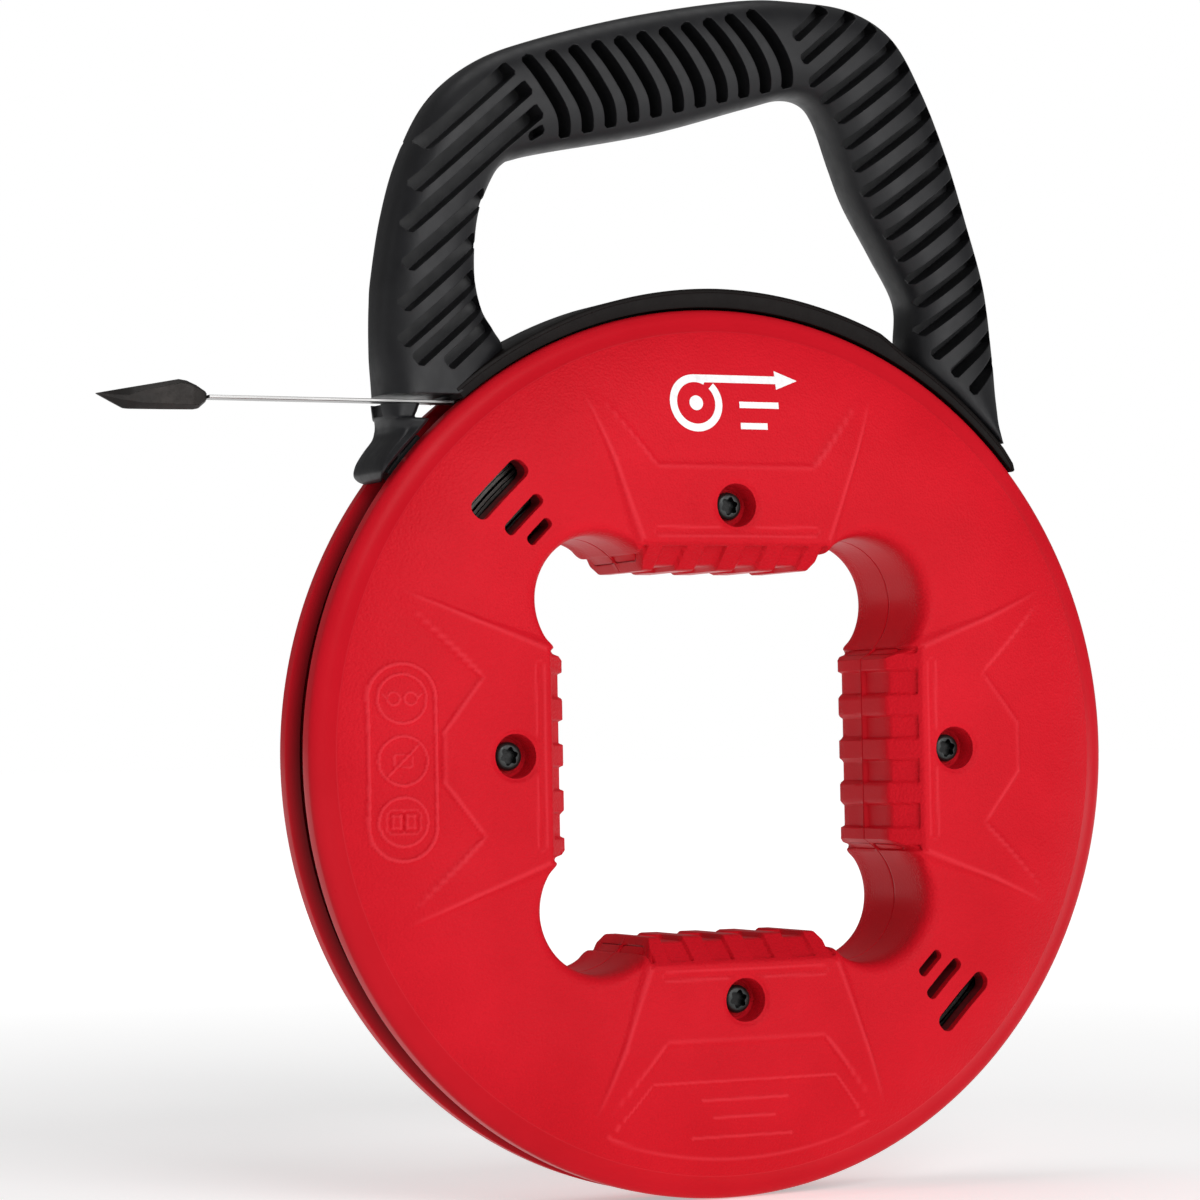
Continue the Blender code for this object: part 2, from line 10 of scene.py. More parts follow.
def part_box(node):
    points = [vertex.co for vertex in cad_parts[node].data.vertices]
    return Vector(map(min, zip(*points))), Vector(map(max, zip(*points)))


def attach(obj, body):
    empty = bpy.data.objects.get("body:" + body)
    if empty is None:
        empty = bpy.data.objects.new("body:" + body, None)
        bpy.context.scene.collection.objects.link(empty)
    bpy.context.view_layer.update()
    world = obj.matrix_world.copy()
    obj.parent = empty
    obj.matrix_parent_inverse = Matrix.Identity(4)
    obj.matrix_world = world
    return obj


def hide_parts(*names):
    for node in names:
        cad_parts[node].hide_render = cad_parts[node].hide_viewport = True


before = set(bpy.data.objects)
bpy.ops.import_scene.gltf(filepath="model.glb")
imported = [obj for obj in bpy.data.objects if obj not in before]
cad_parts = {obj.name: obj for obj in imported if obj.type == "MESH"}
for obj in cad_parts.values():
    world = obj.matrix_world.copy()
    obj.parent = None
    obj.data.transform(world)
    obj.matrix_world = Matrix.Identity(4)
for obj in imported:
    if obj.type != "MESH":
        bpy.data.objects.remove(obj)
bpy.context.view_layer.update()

MM = 0.001
SHELL_LOW, SHELL_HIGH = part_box("front_shell")
CENTRE = Vector(((SHELL_LOW.x + SHELL_HIGH.x) / 2, 0.0, (SHELL_LOW.z + SHELL_HIGH.z) / 2))

# ---- sizes in millimetres from the reel's centre, as in the CAD ----------------------------------
CASE_R = 125.0
WALL = 2.4
THROAT_R, THROAT_HALF = 121.6, 4.2
MOUTH_HALF = 6.45
FACE_R, FACE_HALF, FACE_RISE = 118.2, 14.8, 7.4
SHOULDER_R, SHOULDER_HALF = 124.9, 12.0
DOME_IN = 58.0
LAND_HALF = 22.58
LIP_HALF, BAR_HALF, BAR_DEPTH = 58.7, 51.0, 14.0
LOBE_CENTRE, LOBE_R = 42.2, 18.4
SCREW_R, RECESS_R, HEAD_TOP = 69.0, 6.1, 17.6
TAPE_Z = 97.9
BAND_IN, BAND_HALF = 125.6, 12.2


# ---- general helpers -----------------------------------------------------------------------------
def smooth(low, high, value):
    """Smoothstep from 0 at low to 1 at high; low may be the larger."""
    t = np.clip((np.asarray(value, float) - low) / (high - low), 0.0, 1.0)
    return t * t * (3 - 2 * t)


def soft_max(a, b, width):
    h = np.clip(0.5 + 0.5 * (a - b) / width, 0, 1)
    return b * (1 - h) + a * h + width * h * (1 - h)


def grid_mesh(name, points, wrap_rows=True, wrap_columns=True):
    """Mesh of quads over an array of points (rows, columns, 3) in millimetres, facing outwards."""
    rows, columns = points.shape[:2]
    index = np.arange(rows * columns).reshape(rows, columns)
    if wrap_rows:
        index = np.vstack([index, index[:1]])
    if wrap_columns:
        index = np.hstack([index, index[:, :1]])
    quads = np.stack([index[:-1, :-1], index[1:, :-1], index[1:, 1:], index[:-1, 1:]], axis=-1).reshape(-1, 4)
    corners = points.reshape(-1, 3)[quads]
    volume = np.einsum("ij,ij->i", corners[:, 0], np.cross(corners[:, 1], corners[:, 2])).sum()
    volume += np.einsum("ij,ij->i", corners[:, 0], np.cross(corners[:, 2], corners[:, 3])).sum()
    if volume < 0:
        quads = quads[:, ::-1]
    mesh = bpy.data.meshes.new(name)
    mesh.vertices.add(rows * columns)
    mesh.vertices.foreach_set("co", (points.reshape(-1) * MM).astype(np.float32))
    mesh.loops.add(quads.size)
    mesh.loops.foreach_set("vertex_index", quads.ravel().astype(np.int32))
    mesh.polygons.add(len(quads))
    mesh.polygons.foreach_set("loop_start", np.arange(0, quads.size, 4, dtype=np.int32))
    mesh.update(calc_edges=True)
    mesh.validate()
    return mesh


def piece(name, mesh, material, sharp=38):
    """Object at the reel's centre, so that its own coordinates are the reel's."""
    obj = bpy.data.objects.new(name, mesh)
    obj.location = CENTRE
    bpy.context.scene.collection.objects.link(obj)
    mesh.materials.clear()
    mesh.materials.append(material)
    mesh.shade_smooth()
    if sharp:
        mesh.set_sharp_from_angle(angle=radians(sharp))
    return obj


def bm_mesh(bm, name, recalc=True):
    """Write a bmesh made in millimetres to a mesh in metres."""
    if recalc:
        bmesh.ops.recalc_face_normals(bm, faces=bm.faces)
    bmesh.ops.scale(bm, vec=(MM, MM, MM), verts=bm.verts)
    mesh = bpy.data.meshes.new(name)
    bm.to_mesh(mesh)
    bm.free()
    return mesh


def apply_modifiers(obj):
    graph = bpy.context.evaluated_depsgraph_get()
    graph.update()
    made = bpy.data.meshes.new_from_object(obj.evaluated_get(graph))
    obj.modifiers.clear()
    obj.data = made
    return obj


def cut(obj, cutter_mesh, sharp=38):
    """Cut a solid with a mesh of cutters, for good."""
    cutter = bpy.data.objects.new("cutter", cutter_mesh)
    cutter.location = CENTRE
    bpy.context.scene.collection.objects.link(cutter)
    step = obj.modifiers.new("cut", "BOOLEAN")
    step.operation = "DIFFERENCE"
    step.solver = "MANIFOLD"
    step.object = cutter
    apply_modifiers(obj)
    bpy.data.objects.remove(cutter, do_unlink=True)
    obj.data.shade_smooth()
    obj.data.set_sharp_from_angle(angle=radians(sharp))
    return obj


def capped(mesh):
    """Close the two open ends of a loft."""
    bm = bmesh.new()
    bm.from_mesh(mesh)
    bmesh.ops.holes_fill(bm, edges=[e for e in bm.edges if e.is_boundary], sides=0)
    bmesh.ops.recalc_face_normals(bm, faces=bm.faces)
    bm.to_mesh(mesh)
    bm.free()
    return mesh


def prism(bm, outline, y_from, y_to, draft=0.0):
    """Closed prism along the depth axis; its far end is drawn in by the draft."""
    near = [bm.verts.new((x, y_from, z)) for x, z in outline]
    points = np.array(outline)
    middle = points.mean(axis=0)
    shrunk = middle + (points - middle) * (1.0 - draft)
    far = [bm.verts.new((x, y_to, z)) for x, z in shrunk]
    bm.faces.new(near)
    bm.faces.new(far[::-1])
    for i in range(len(near)):
        j = (i + 1) % len(near)
        bm.faces.new((near[j], near[i], far[i], far[j]))


def turned(profile, segments=48):
    """Closed turned solid about the depth axis from (radius, y) points, poles at both ends."""
    bm = bmesh.new()
    verts = [bm.verts.new((r, y, 0.0)) for r, y in profile]
    edges = [bm.edges.new(pair) for pair in zip(verts, verts[1:])]
    bmesh.ops.spin(bm, geom=verts + edges, cent=(0, 0, 0), axis=(0, 1, 0), angle=2 * pi,
                   steps=segments, use_merge=True)
    bmesh.ops.remove_doubles(bm, verts=bm.verts, dist=1e-4)
    bmesh.ops.recalc_face_normals(bm, faces=bm.faces)
    return bm


def polar(radius, angle):
    return radius * cos(radians(angle)), radius * sin(radians(angle))


# ---- materials -----------------------------------------------------------------------------------
class Nodes:
    """Short way to write a material's node tree."""

    def __init__(self, name):
        self.material = bpy.data.materials.new(name)
        self.material.use_nodes = True
        self.tree = self.material.node_tree
        self.shader = self.tree.nodes["Principled BSDF"]

    def add(self, kind, **values):
        node = self.tree.nodes.new(kind)
        for key, value in values.items():
            setattr(node, key, value)
        return node

    def link(self, output, target):
        self.tree.links.new(output, target)

    def math(self, operation, a, b=0.0):
        node = self.add("ShaderNodeMath", operation=operation)
        for socket, value in zip(node.inputs, (a, b)):
            if isinstance(value, (int, float)):
                socket.default_value = value
            else:
                self.link(value, socket)
        return node.outputs[0]

    def position(self):
        return self.add("ShaderNodeTexCoord").outputs["Object"]

    def noise(self, scale, detail=2.0, roughness=0.5, stretch=None):
        source = self.position()
        if stretch:
            mapping = self.add("ShaderNodeMapping")
            mapping.inputs["Scale"].default_value = stretch
            self.link(source, mapping.inputs["Vector"])
            source = mapping.outputs[0]
        node = self.add("ShaderNodeTexNoise")
        node.inputs["Scale"].default_value = scale
        node.inputs["Detail"].default_value = detail
        node.inputs["Roughness"].default_value = roughness
        self.link(source, node.inputs["Vector"])
        return node.outputs["Fac"]

    def ramp(self, factor, stops):
        node = self.add("ShaderNodeValToRGB")
        for element, (place, colour) in zip(node.color_ramp.elements, stops):
            element.position = place
            element.color = (*colour, 1.0)
        self.link(factor, node.inputs["Fac"])
        return node.outputs["Color"]

    def span(self, factor, low, high, out_low, out_high):
        node = self.add("ShaderNodeMapRange")
        for socket, value in zip(list(node.inputs)[1:5], (low, high, out_low, out_high)):
            socket.default_value = value
        self.link(factor, node.inputs[0])
        return node.outputs[0]

    def mix(self, factor, colour, other):
        node = self.add("ShaderNodeMix", data_type="RGBA")
        self.link(factor, node.inputs["Factor"])
        self.link(colour, node.inputs[6])
        node.inputs[7].default_value = (*other, 1.0)
        return node.outputs[2]

    def bump(self, height, distance, strength=1.0, normal=None):
        node = self.add("ShaderNodeBump")
        node.inputs["Distance"].default_value = distance
        if isinstance(strength, (int, float)):
            node.inputs["Strength"].default_value = strength
        else:
            self.link(strength, node.inputs["Strength"])
        self.link(height, node.inputs["Height"])
        if normal:
            self.link(normal, node.inputs["Normal"])
        return node.outputs["Normal"]

    def rounded(self, radius):
        """Normals with every edge rounded, as moulded edges are."""
        node = self.add("ShaderNodeBevel", samples=4)
        node.inputs["Radius"].default_value = radius
        return node.outputs[0]

    def paint(self, factor, dark, light):
        """Base colour that runs from dark to light over the middle of a noise."""
        self.link(self.ramp(factor, [(0.3, dark), (0.7, light)]), self.shader.inputs["Base Color"])

    def roughen(self, factor, low, high):
        """Roughness that runs between two values over the middle of a noise."""
        self.link(self.span(factor, 0.3, 0.7, low, high), self.shader.inputs["Roughness"])

    def set(self, **values):
        for key, value in values.items():
            self.shader.inputs[key.replace("_", " ")].default_value = value


def case_material():
    """Red moulded plastic: spark-textured face, smoother shoulder, rim and groove; painted shade darkens the
    shoulder, rim and groove, and a painted highlight lightens bent edges.
    """
    n = Nodes("case_red")
    split = n.add("ShaderNodeSeparateXYZ")
    n.link(n.position(), split.inputs[0])
    x, y, z = split.outputs
    radius = n.math("SQRT", n.math("ADD", n.math("MULTIPLY", x, x), n.math("MULTIPLY", z, z)))
    on_face = n.span(radius, 0.1180, 0.1184, 1.0, 0.0)
    depth = n.span(n.math("ABSOLUTE", y), 0.0100, 0.0150, 0.0, 1.0)
    textured = n.math("MULTIPLY", on_face, n.math("ADD", n.math("MULTIPLY", depth, 0.8), 0.2))
    grain = n.noise(1500.0, 2.0, 0.55)
    cells = n.add("ShaderNodeTexVoronoi")
    cells.inputs["Scale"].default_value = 1250.0
    n.link(n.position(), cells.inputs["Vector"])
    height = n.math("ADD", grain, n.math("MULTIPLY", cells.outputs["Distance"], 0.7))
    fine = n.bump(height, 0.00024, n.math("ADD", n.math("MULTIPLY", textured, 0.60), 0.03), n.rounded(0.0003))
    n.link(fine, n.shader.inputs["Normal"])
    clouds = n.noise(22.0, 3.0, 0.6)
    plain = n.ramp(clouds, [(0.3, (0.560, 0.0065, 0.0150)), (0.7, (0.640, 0.0090, 0.0200))])
    # Painted shade: the shoulder and rim beyond the face are darkened a little, and the groove between the
    # shells much more, where its shade falls.
    past_face = n.span(radius, 0.1186, 0.1215, 0.0, 1.0)
    groove_shade = n.math("MULTIPLY", past_face, n.span(n.math("ABSOLUTE", y), 0.0044, 0.0066, 1.0, 0.0))
    plain = n.mix(n.math("MULTIPLY", past_face, 0.22), plain, (0.340, 0.0060, 0.0120))
    plain = n.mix(n.math("MULTIPLY", groove_shade, 0.80), plain, (0.085, 0.0035, 0.0050))
    # Painted highlight: the red is lightened along outward-bent edges of the panels and relief, where
    # highlights catch them.
    edge = n.add("ShaderNodeAttribute", attribute_name="highlight_paint").outputs["Fac"]
    n.link(n.mix(n.math("MULTIPLY", edge, 0.36), plain, (0.86, 0.055, 0.075)),
           n.shader.inputs["Base Color"])
    smudge = n.noise(70.0, 4.0, 0.6)
    rough = n.math("ADD", n.span(textured, 0.0, 1.0, 0.30, 0.47), n.span(smudge, 0.3, 0.7, -0.03, 0.03))
    n.link(rough, n.shader.inputs["Roughness"])
    n.set(IOR=1.49, Specular_IOR_Level=0.075)
    return n.material


def well_material():
    """Inside wall of a window: the same red, darkened as painted shade, as dark as a deep narrow well leaves
    it.
    """
    n = Nodes("well_red_painted_shade")
    streaks = n.noise(400.0, 3.0, 0.6, stretch=(1.0, 0.2, 1.0))
    n.paint(streaks, (0.130, 0.0090, 0.0130), (0.190, 0.0140, 0.0190))
    n.roughen(streaks, 0.38, 0.50)
    n.set(IOR=1.49, Specular_IOR_Level=0.16)
    return n.material


def handle_material(name="handle_black", edge=0.0005, dark=(0.0075, 0.0075, 0.0085),
                    light=(0.0125, 0.0125, 0.0140),
                    gloss=0.28):
    """Black glass-filled nylon: satin, with a faint fibrous mottling."""
    n = Nodes(name)
    fibres = n.noise(900.0, 3.0, 0.6, stretch=(1.0, 1.0, 0.35))
    spots = n.noise(260.0, 3.0, 0.6)
    height = n.math("ADD", fibres, n.math("MULTIPLY", spots, 0.5))
    n.link(n.bump(height, 0.00008, 0.35, n.rounded(edge)), n.shader.inputs["Normal"])
    n.paint(n.noise(45.0, 4.0, 0.6), dark, light)
    n.roughen(spots, 0.38, 0.50)
    n.set(IOR=1.50, Specular_IOR_Level=gloss)
    return n.material


def steel_material(name, dark, light, rough_low, rough_high, stretch):
    """Brushed steel: fine scratches along one direction and faint heat staining."""
    n = Nodes(name)
    scratches = n.noise(900.0, 4.0, 0.65, stretch=stretch)
    stains = n.noise(35.0, 3.0, 0.6)
    n.paint(stains, dark, light)
    n.roughen(scratches, rough_low, rough_high)
    n.link(n.bump(scratches, 0.00004, 0.4), n.shader.inputs["Normal"])
    n.set(Metallic=1.0)
    return n.material


def tip_material():
    """Heat-blackened steel, finely pitted."""
    n = Nodes("tip_steel")
    pits = n.noise(700.0, 4.0, 0.7)
    clouds = n.noise(60.0, 3.0, 0.6)
    n.paint(clouds, (0.010, 0.0085, 0.0078), (0.022, 0.018, 0.016))
    n.roughen(pits, 0.40, 0.56)
    n.link(n.bump(pits, 0.00008, 0.4, n.rounded(0.0003)), n.shader.inputs["Normal"])
    n.set(Metallic=0.6)
    return n.material


def screw_material(name, dark, light):
    """Black oxide screw steel."""
    n = Nodes(name)
    grain = n.noise(1600.0, 3.0, 0.6)
    n.paint(n.noise(300.0), dark, light)
    n.roughen(grain, 0.26, 0.42)
    n.link(n.bump(grain, 0.00004, 0.5), n.shader.inputs["Normal"])
    n.set(Metallic=0.6)
    return n.material


def mark_material():
    """White pad print: slightly chalky ink with thin spots."""
    n = Nodes("print_white")
    thin = n.noise(900.0, 3.0, 0.6)
    n.link(n.ramp(thin, [(0.25, (0.80, 0.78, 0.78)), (0.55, (0.90, 0.90, 0.90))]),
           n.shader.inputs["Base Color"])
    n.roughen(thin, 0.42, 0.55)
    n.link(n.bump(thin, 0.00003, 0.3), n.shader.inputs["Normal"])
    return n.material


RED = case_material()
WELL_RED_PAINTED_SHADE = well_material()
BLACK = handle_material()
BAND_BLACK = handle_material("band_black", 0.0003, (0.0050, 0.0036, 0.0034), (0.0075, 0.0056, 0.0052), 0.09)
TAPE_STEEL = steel_material("tape_steel", (0.27, 0.266, 0.262), (0.38, 0.376, 0.372), 0.26, 0.40,
                            (0.05, 1.0, 1.0))
# Painted shade: the wound tape is the same steel as the tape run, painted much darker as the shade inside the
# case.
COIL_STEEL_PAINTED_SHADE = steel_material("coil_steel", (0.022, 0.020, 0.019), (0.075, 0.070, 0.066), 0.25, 0.45,
                            (1.0, 0.1, 1.0))
PLAIN_STEEL = steel_material("hidden_steel", (0.42, 0.42, 0.42), (0.55, 0.55, 0.55), 0.25, 0.40,
                             (1.0, 0.2, 1.0))
TIP = tip_material()
SCREW = screw_material("screw_black", (0.016, 0.018, 0.018), (0.036, 0.040, 0.039))
# Painted shade: a much darker copy of the screw steel for the socket's recess.
SOCKET_PAINTED_SHADE = screw_material("screw_socket_shade", (0.0015, 0.0016, 0.0017), (0.0050, 0.0052, 0.0054))
WHITE = mark_material()


# ---- case shells ---------------------------------------------------------------------------------
def off_axis(theta):
    """Angle from the middle of the nearest grip bar."""
    return np.abs((theta + pi / 4) % (pi / 2) - pi / 4)


def opening(theta, bar_half):
    """Radius of the centre opening: four grip bars joined softly to four round lobes."""
    off = off_axis(theta)
    to_lobe = pi / 4 - off
    reach = LOBE_CENTRE * sqrt(2)
    chord = LOBE_R ** 2 - (reach * np.sin(to_lobe)) ** 2
    lobe = np.where(chord > 0, reach * np.cos(to_lobe) + np.sqrt(np.maximum(chord, 0)), 0.0)
    bar = bar_half / np.cos(off) - 1.5 * np.maximum(0.0, bar_half * np.tan(off) - 29.0)
    return soft_max(bar, lobe, 1.0)


def panel_coordinates(x, z):
    """Across and along the nearest of the four panels, and which one it is (0 right, 1 top...)."""
    quadrant = np.floor((np.arctan2(z, x) + pi / 4) / (pi / 2)).astype(int) % 4
    along = np.choose(quadrant, [x, z, -x, -z])
    across = np.choose(quadrant, [z, -x, -z, x])
    return across, along, quadrant


def segment_distance(x, z, start, end):
    px, pz = x - start[0], z - start[1]
    dx, dz = end[0] - start[0], end[1] - start[1]
    t = np.clip((px * dx + pz * dz) / (dx * dx + dz * dz), 0, 1)
    return np.hypot(px - t * dx, pz - t * dz)


def box_distance(x, z, cx, cz, half_x, half_z, round_by=0.0):
    """Signed distance to a box outline with rounded corners."""
    qx = np.abs(x - cx) - half_x + round_by
    qz = np.abs(z - cz) - half_z + round_by
    outside = np.hypot(np.maximum(qx, 0), np.maximum(qz, 0))
    return outside + np.minimum(np.maximum(qx, qz), 0) - round_by


def line_relief(distance, width, height):
    return height * smooth(width, width * 0.35, np.abs(distance))


PILL = (-101.3, -1.1, 9.1, 26.5)
SIGNS_Z = (16.0, -0.7, -17.1)
SIGN_R = 6.6


def sign_relief(x, z):
    """Raised outline on the left panel with three plain signs: eye shield, no-plug, book."""
    cx, cz, half_x, half_z = PILL
    relief = line_relief(box_distance(x, z, cx, cz, half_x, half_z, half_x), 0.8, 0.5)
    for centre_z in SIGNS_Z:
        relief += line_relief(np.hypot(x - cx, z - centre_z) - SIGN_R, 0.6, 0.4)
    top, middle, low = SIGNS_Z
    for side in (-1, 1):
        relief += line_relief(np.hypot(x - cx - side * 2.3, z - top) - 1.7, 0.4, 0.25)
        relief += line_relief(segment_distance(x, z, (cx + side * 4.0, top),
                                               (cx + side * 5.2, top + 1.2)), 0.4, 0.25)
    relief += line_relief(segment_distance(x, z, (cx - 4.6, middle - 4.6), (cx + 4.6, middle + 4.6)),
                          0.55, 0.28)
    relief += line_relief(box_distance(x, z, cx, middle, 2.4, 1.7, 0.4), 0.4, 0.25)
    disc = smooth(0.3, -0.3, np.hypot(x - cx, z - low) - SIGN_R + 0.4)
    book = sum(line_relief(box_distance(x, z, cx + side * 1.9, low, 1.8, 2.4, 0.3), 0.4,
                           0.3) for side in (-1, 1))
    return relief + 0.22 * disc - book * disc


def plate_relief(x, z):
    """Sunk plate under the bottom panel with three rows of plain bars in place of lettering."""
    v = -z
    inside = np.minimum(28.6 + 0.83 * (v - 91.6) - np.abs(x), v - 91.6)
    inside = np.minimum(inside, 112.9 - np.hypot(x, z))
    relief = -0.45 * smooth(-0.3, 0.4, inside)
    for row, half in ((96.4, 13.5), (101.4, 10.0), (106.9, 16.0)):
        relief += 0.22 * smooth(0.25, -0.25, box_distance(x, v, 0.0, row, half, 0.55, 0.5))
    return relief


LIFT_AT = (58.0, 72.0, 80.0, 90.0, 96.0, 101.0)
LIFT_BY = (1.5, 1.35, 1.0, 0.65, 0.4, 0.0)


def face_height(x, z, plain=False):
    """Half depth of the case at a point of its face: dome, raised panels, relief, softened holes."""
    radius = np.hypot(x, z)
    t = np.clip((radius - DOME_IN) / (FACE_R - DOME_IN), 0.0, 1.0)
    dome = FACE_HALF + FACE_RISE * (1 - t ** 4)
    u, v, quadrant = panel_coordinates(x, z)
    lift = np.interp(v, LIFT_AT, LIFT_BY)
    raised = np.minimum(LAND_HALF, dome + lift)
    dome = dome - 1.3 * smooth(86.0, 59.0, v)
    side = 28.4 + 0.4 * (v - 57.5) - np.abs(u)
    upright = quadrant % 2 == 1
    au = np.abs(u)
    step_upright = np.minimum(v - 80.5, (v - 80.5 - 1.2 * (au - 24.5)) / 1.56)
    slope_in = v - 90.7 + np.maximum(0, au - 7.0) * 0.79
    slope_out = v - 79.2 - np.maximum(0, au - 21.5) * 1.05
    step_side = np.where(au > 21.5, slope_out / 1.45, slope_in / np.where(au < 7, 1.0, 1.27))
    beyond = np.where(upright, step_upright, step_side)
    on_panel = smooth(-1.2 - 2.4 * smooth(84.0, 58.0, v), 0.5, side)
    plateau = on_panel * smooth(0.7, -0.7, beyond)
    height = dome + (raised - dome) * plateau
    if plain:
        return height
    height = height + np.where(quadrant == 2, sign_relief(x, z), 0.0)
    height = height + np.where(quadrant == 3, plate_relief(x, z), 0.0)
    height = height - line_relief(v - 61.6, 1.1, 0.35) * smooth(26.0, 24.5, au)
    for k in range(4):
        sx, sz = polar(SCREW_R, 90 * k)
        height = height - 0.7 * smooth(RECESS_R + 1.5, RECESS_R, np.hypot(x - sx, z - sz))
    return height


def rib_mask(across):
    """1 in the hollows between the five ribs that cross a grip bar."""
    ribs = np.zeros_like(across)
    for centre, half in ((25.0, 2.5), (12.6, 3.1), (0.0, 3.1), (-12.6, 3.1), (-25.0, 2.5)):
        ribs = np.maximum(ribs, smooth(half + 0.35, half - 0.35, np.abs(across - centre)))
    reach = smooth(29.5, 28.5, np.abs(across))
    return (1 - ribs) * reach


def column_angles(fine):
    """Angles round the case, closer together where the surface has detail."""
    probe = np.linspace(0, 2 * pi, 7201)[:-1]
    off = np.degrees(off_axis(probe))
    weight = 1.0 + 2.2 * ((off > 22.5) & (off < 31.0))
    if fine:
        turn = np.degrees(probe)
        weight += 2.6 * (np.abs(turn - 180) < 16)
        weight += 1.0 * (np.abs(turn - 270) < 20)
    total = np.concatenate([[0], np.cumsum(weight)])
    count = 1000 if fine else 720
    return np.interp(np.arange(count) / count * total[-1], total, np.linspace(0, 2 * pi, 7201))


def corner(before, at, after, lead, tail, count):
    """Points of a rounded corner between two straight runs; the arrays hold (radius, depth)."""
    def unit(v):
        return v / np.maximum(np.linalg.norm(v, axis=1, keepdims=True), 1e-9)
    start = at + unit(before - at) * lead[:, None]
    end = at + unit(after - at) * tail[:, None]
    out = []
    for i in range(count + 1):
        t = i / count
        out.append(start * (1 - t) ** 2 + at * 2 * t * (1 - t) + end * t * t)
    return out


def shell_profile(theta, front):
    """List of (radius, depth) arrays, one row each, right round a shell's wall."""
    n = len(theta)

    def ring(radius, depth):
        return np.stack([np.broadcast_to(radius, n), np.broadcast_to(depth, n)], axis=1).astype(float)

    def full(value):
        return np.full(n, float(value))

    lip_r, wall_r = opening(theta, LIP_HALF), opening(theta, BAR_HALF)
    on_bar = smooth(29.0, 25.5, np.degrees(off_axis(theta)))
    throat, mouth = ring(THROAT_R, THROAT_HALF), ring(CASE_R, MOUTH_HALF)
    shoulder = ring(SHOULDER_R, SHOULDER_HALF)
    rows = [throat, (throat + mouth) / 2]
    rows += corner(throat, mouth, shoulder, full(0.5), full(0.5), 3)
    rows += corner(mouth, shoulder, ring(118.5, 14.35), full(1.8), full(3.4), 12)
    rows += [ring(118.55, 14.42), ring(118.4, 14.66), ring(118.2, 14.80)]
    lead = 1.0 + 4.0 * (1 - on_bar)
    start = lip_r + lead
    stops = np.concatenate([np.linspace(0, 0.105, 9)[:-1], np.linspace(0.105, 0.52, 62 if front else 30)[:-1],
                            np.linspace(0.52, 1.0, 46 if front else 34)])
    for t in stops:
        radius = 118.0 + (start - 118.0) * t
        x, z = radius * np.cos(theta), radius * np.sin(theta)
        depth = face_height(x, z, plain=not front)
        rows.append(ring(radius, depth))
    x, z = lip_r * np.cos(theta), lip_r * np.sin(theta)
    lip = ring(lip_r, face_height(x, z, plain=True))
    wall = ring(wall_r, BAR_DEPTH)
    rows += corner(rows[-1], lip, wall, lead, 0.8 + 4.6 * (1 - on_bar), 7)[1:]
    chamfer = rows[-1]
    rows += [chamfer * (1 - t) + wall * t for t in np.linspace(0, 1, 22)[1:-1]]
    rows += [ring(wall_r, BAR_DEPTH - d) for d in (0.8, 4.0, 8.0, 11.5, 13.0)]
    rows += [ring(wall_r, 0.30), ring(wall_r + 0.15, 0.16)]
    inner = [ring(wall_r + WALL, 0.16), ring(wall_r + WALL, BAR_DEPTH - 1.0)]
    lip_in = lip_r + WALL + 1.5 * (1 - on_bar)
    inner.append(ring(lip_in, lip[:, 1] - WALL - 0.8 - 2.0 * (1 - on_bar)))
    for radius in (84.0, 92.0, 101.0, 109.0, 114.0):
        depth = face_height(radius * np.cos(theta), radius * np.sin(theta), plain=True) - WALL
        inner.append(ring(np.maximum(radius, lip_in + 1.0), depth))
    inner += [ring(117.2, FACE_HALF - WALL), ring(119.2, 11.0), ring(121.0, 9.0), ring(122.1, 7.5),
              ring(119.9, 6.2)]
    return rows, inner


def shell(name, side, front):
    theta = column_angles(front)
    rows, inner = shell_profile(theta, front)
    profile = np.stack(rows + inner)
    outer_count = len(rows)
    radius, depth = profile[..., 0], profile[..., 1]
    x, z = radius * np.cos(theta), radius * np.sin(theta)
    u, v, quadrant = panel_coordinates(x, z)
    row = np.arange(len(profile))[:, None]
    wall_zone = (row < outer_count) & (v < LIP_HALF - 0.2) & (depth < LAND_HALF)
    along_chamfer = (v - BAR_HALF) / (LIP_HALF - BAR_HALF)
    hollow = rib_mask(u) * smooth(0.86, 0.76, along_chamfer) * smooth(0.3, 1.2, depth)
    sink = np.where(wall_zone, 1.3 * hollow * smooth(1.0, 1.6, depth + 1.0), 0.0)
    direction = np.stack([np.choose(quadrant, [1, 0, -1, 0]), np.choose(quadrant, [0, 1, 0, -1])])
    x, z = x + direction[0] * sink, z + direction[1] * sink
    points = np.stack([x, side * depth, z], axis=-1)
    mesh = grid_mesh(name, points)
    # Painted highlight: a point attribute that lightens the red on bent edges, and along a thin line where
    # the face meets the shoulder.
    highlight_paint = mesh.attributes.new("highlight_paint", "FLOAT", "POINT")
    on_face = (row < outer_count) & (radius < 118.1) & (depth > FACE_HALF - 0.1)
    on_face &= radius > opening(theta, LIP_HALF) + 0.8
    highlight_amount = painted_highlight_of(x, z, not front) * on_face
    highlight_amount = np.maximum(highlight_amount, 0.6 * ((row < outer_count) & (np.abs(radius - 118.35) < 0.12)))
    highlight_paint.data.foreach_set("value", highlight_amount.astype(np.float32).ravel())
    return mesh


def outward_bend(height, x, z, d):
    around = sum(height(x + dx, z + dz) for dx, dz in ((d, 0), (-d, 0), (0, d), (0, -d)))
    return (4 * height(x, z) - around) / d ** 2


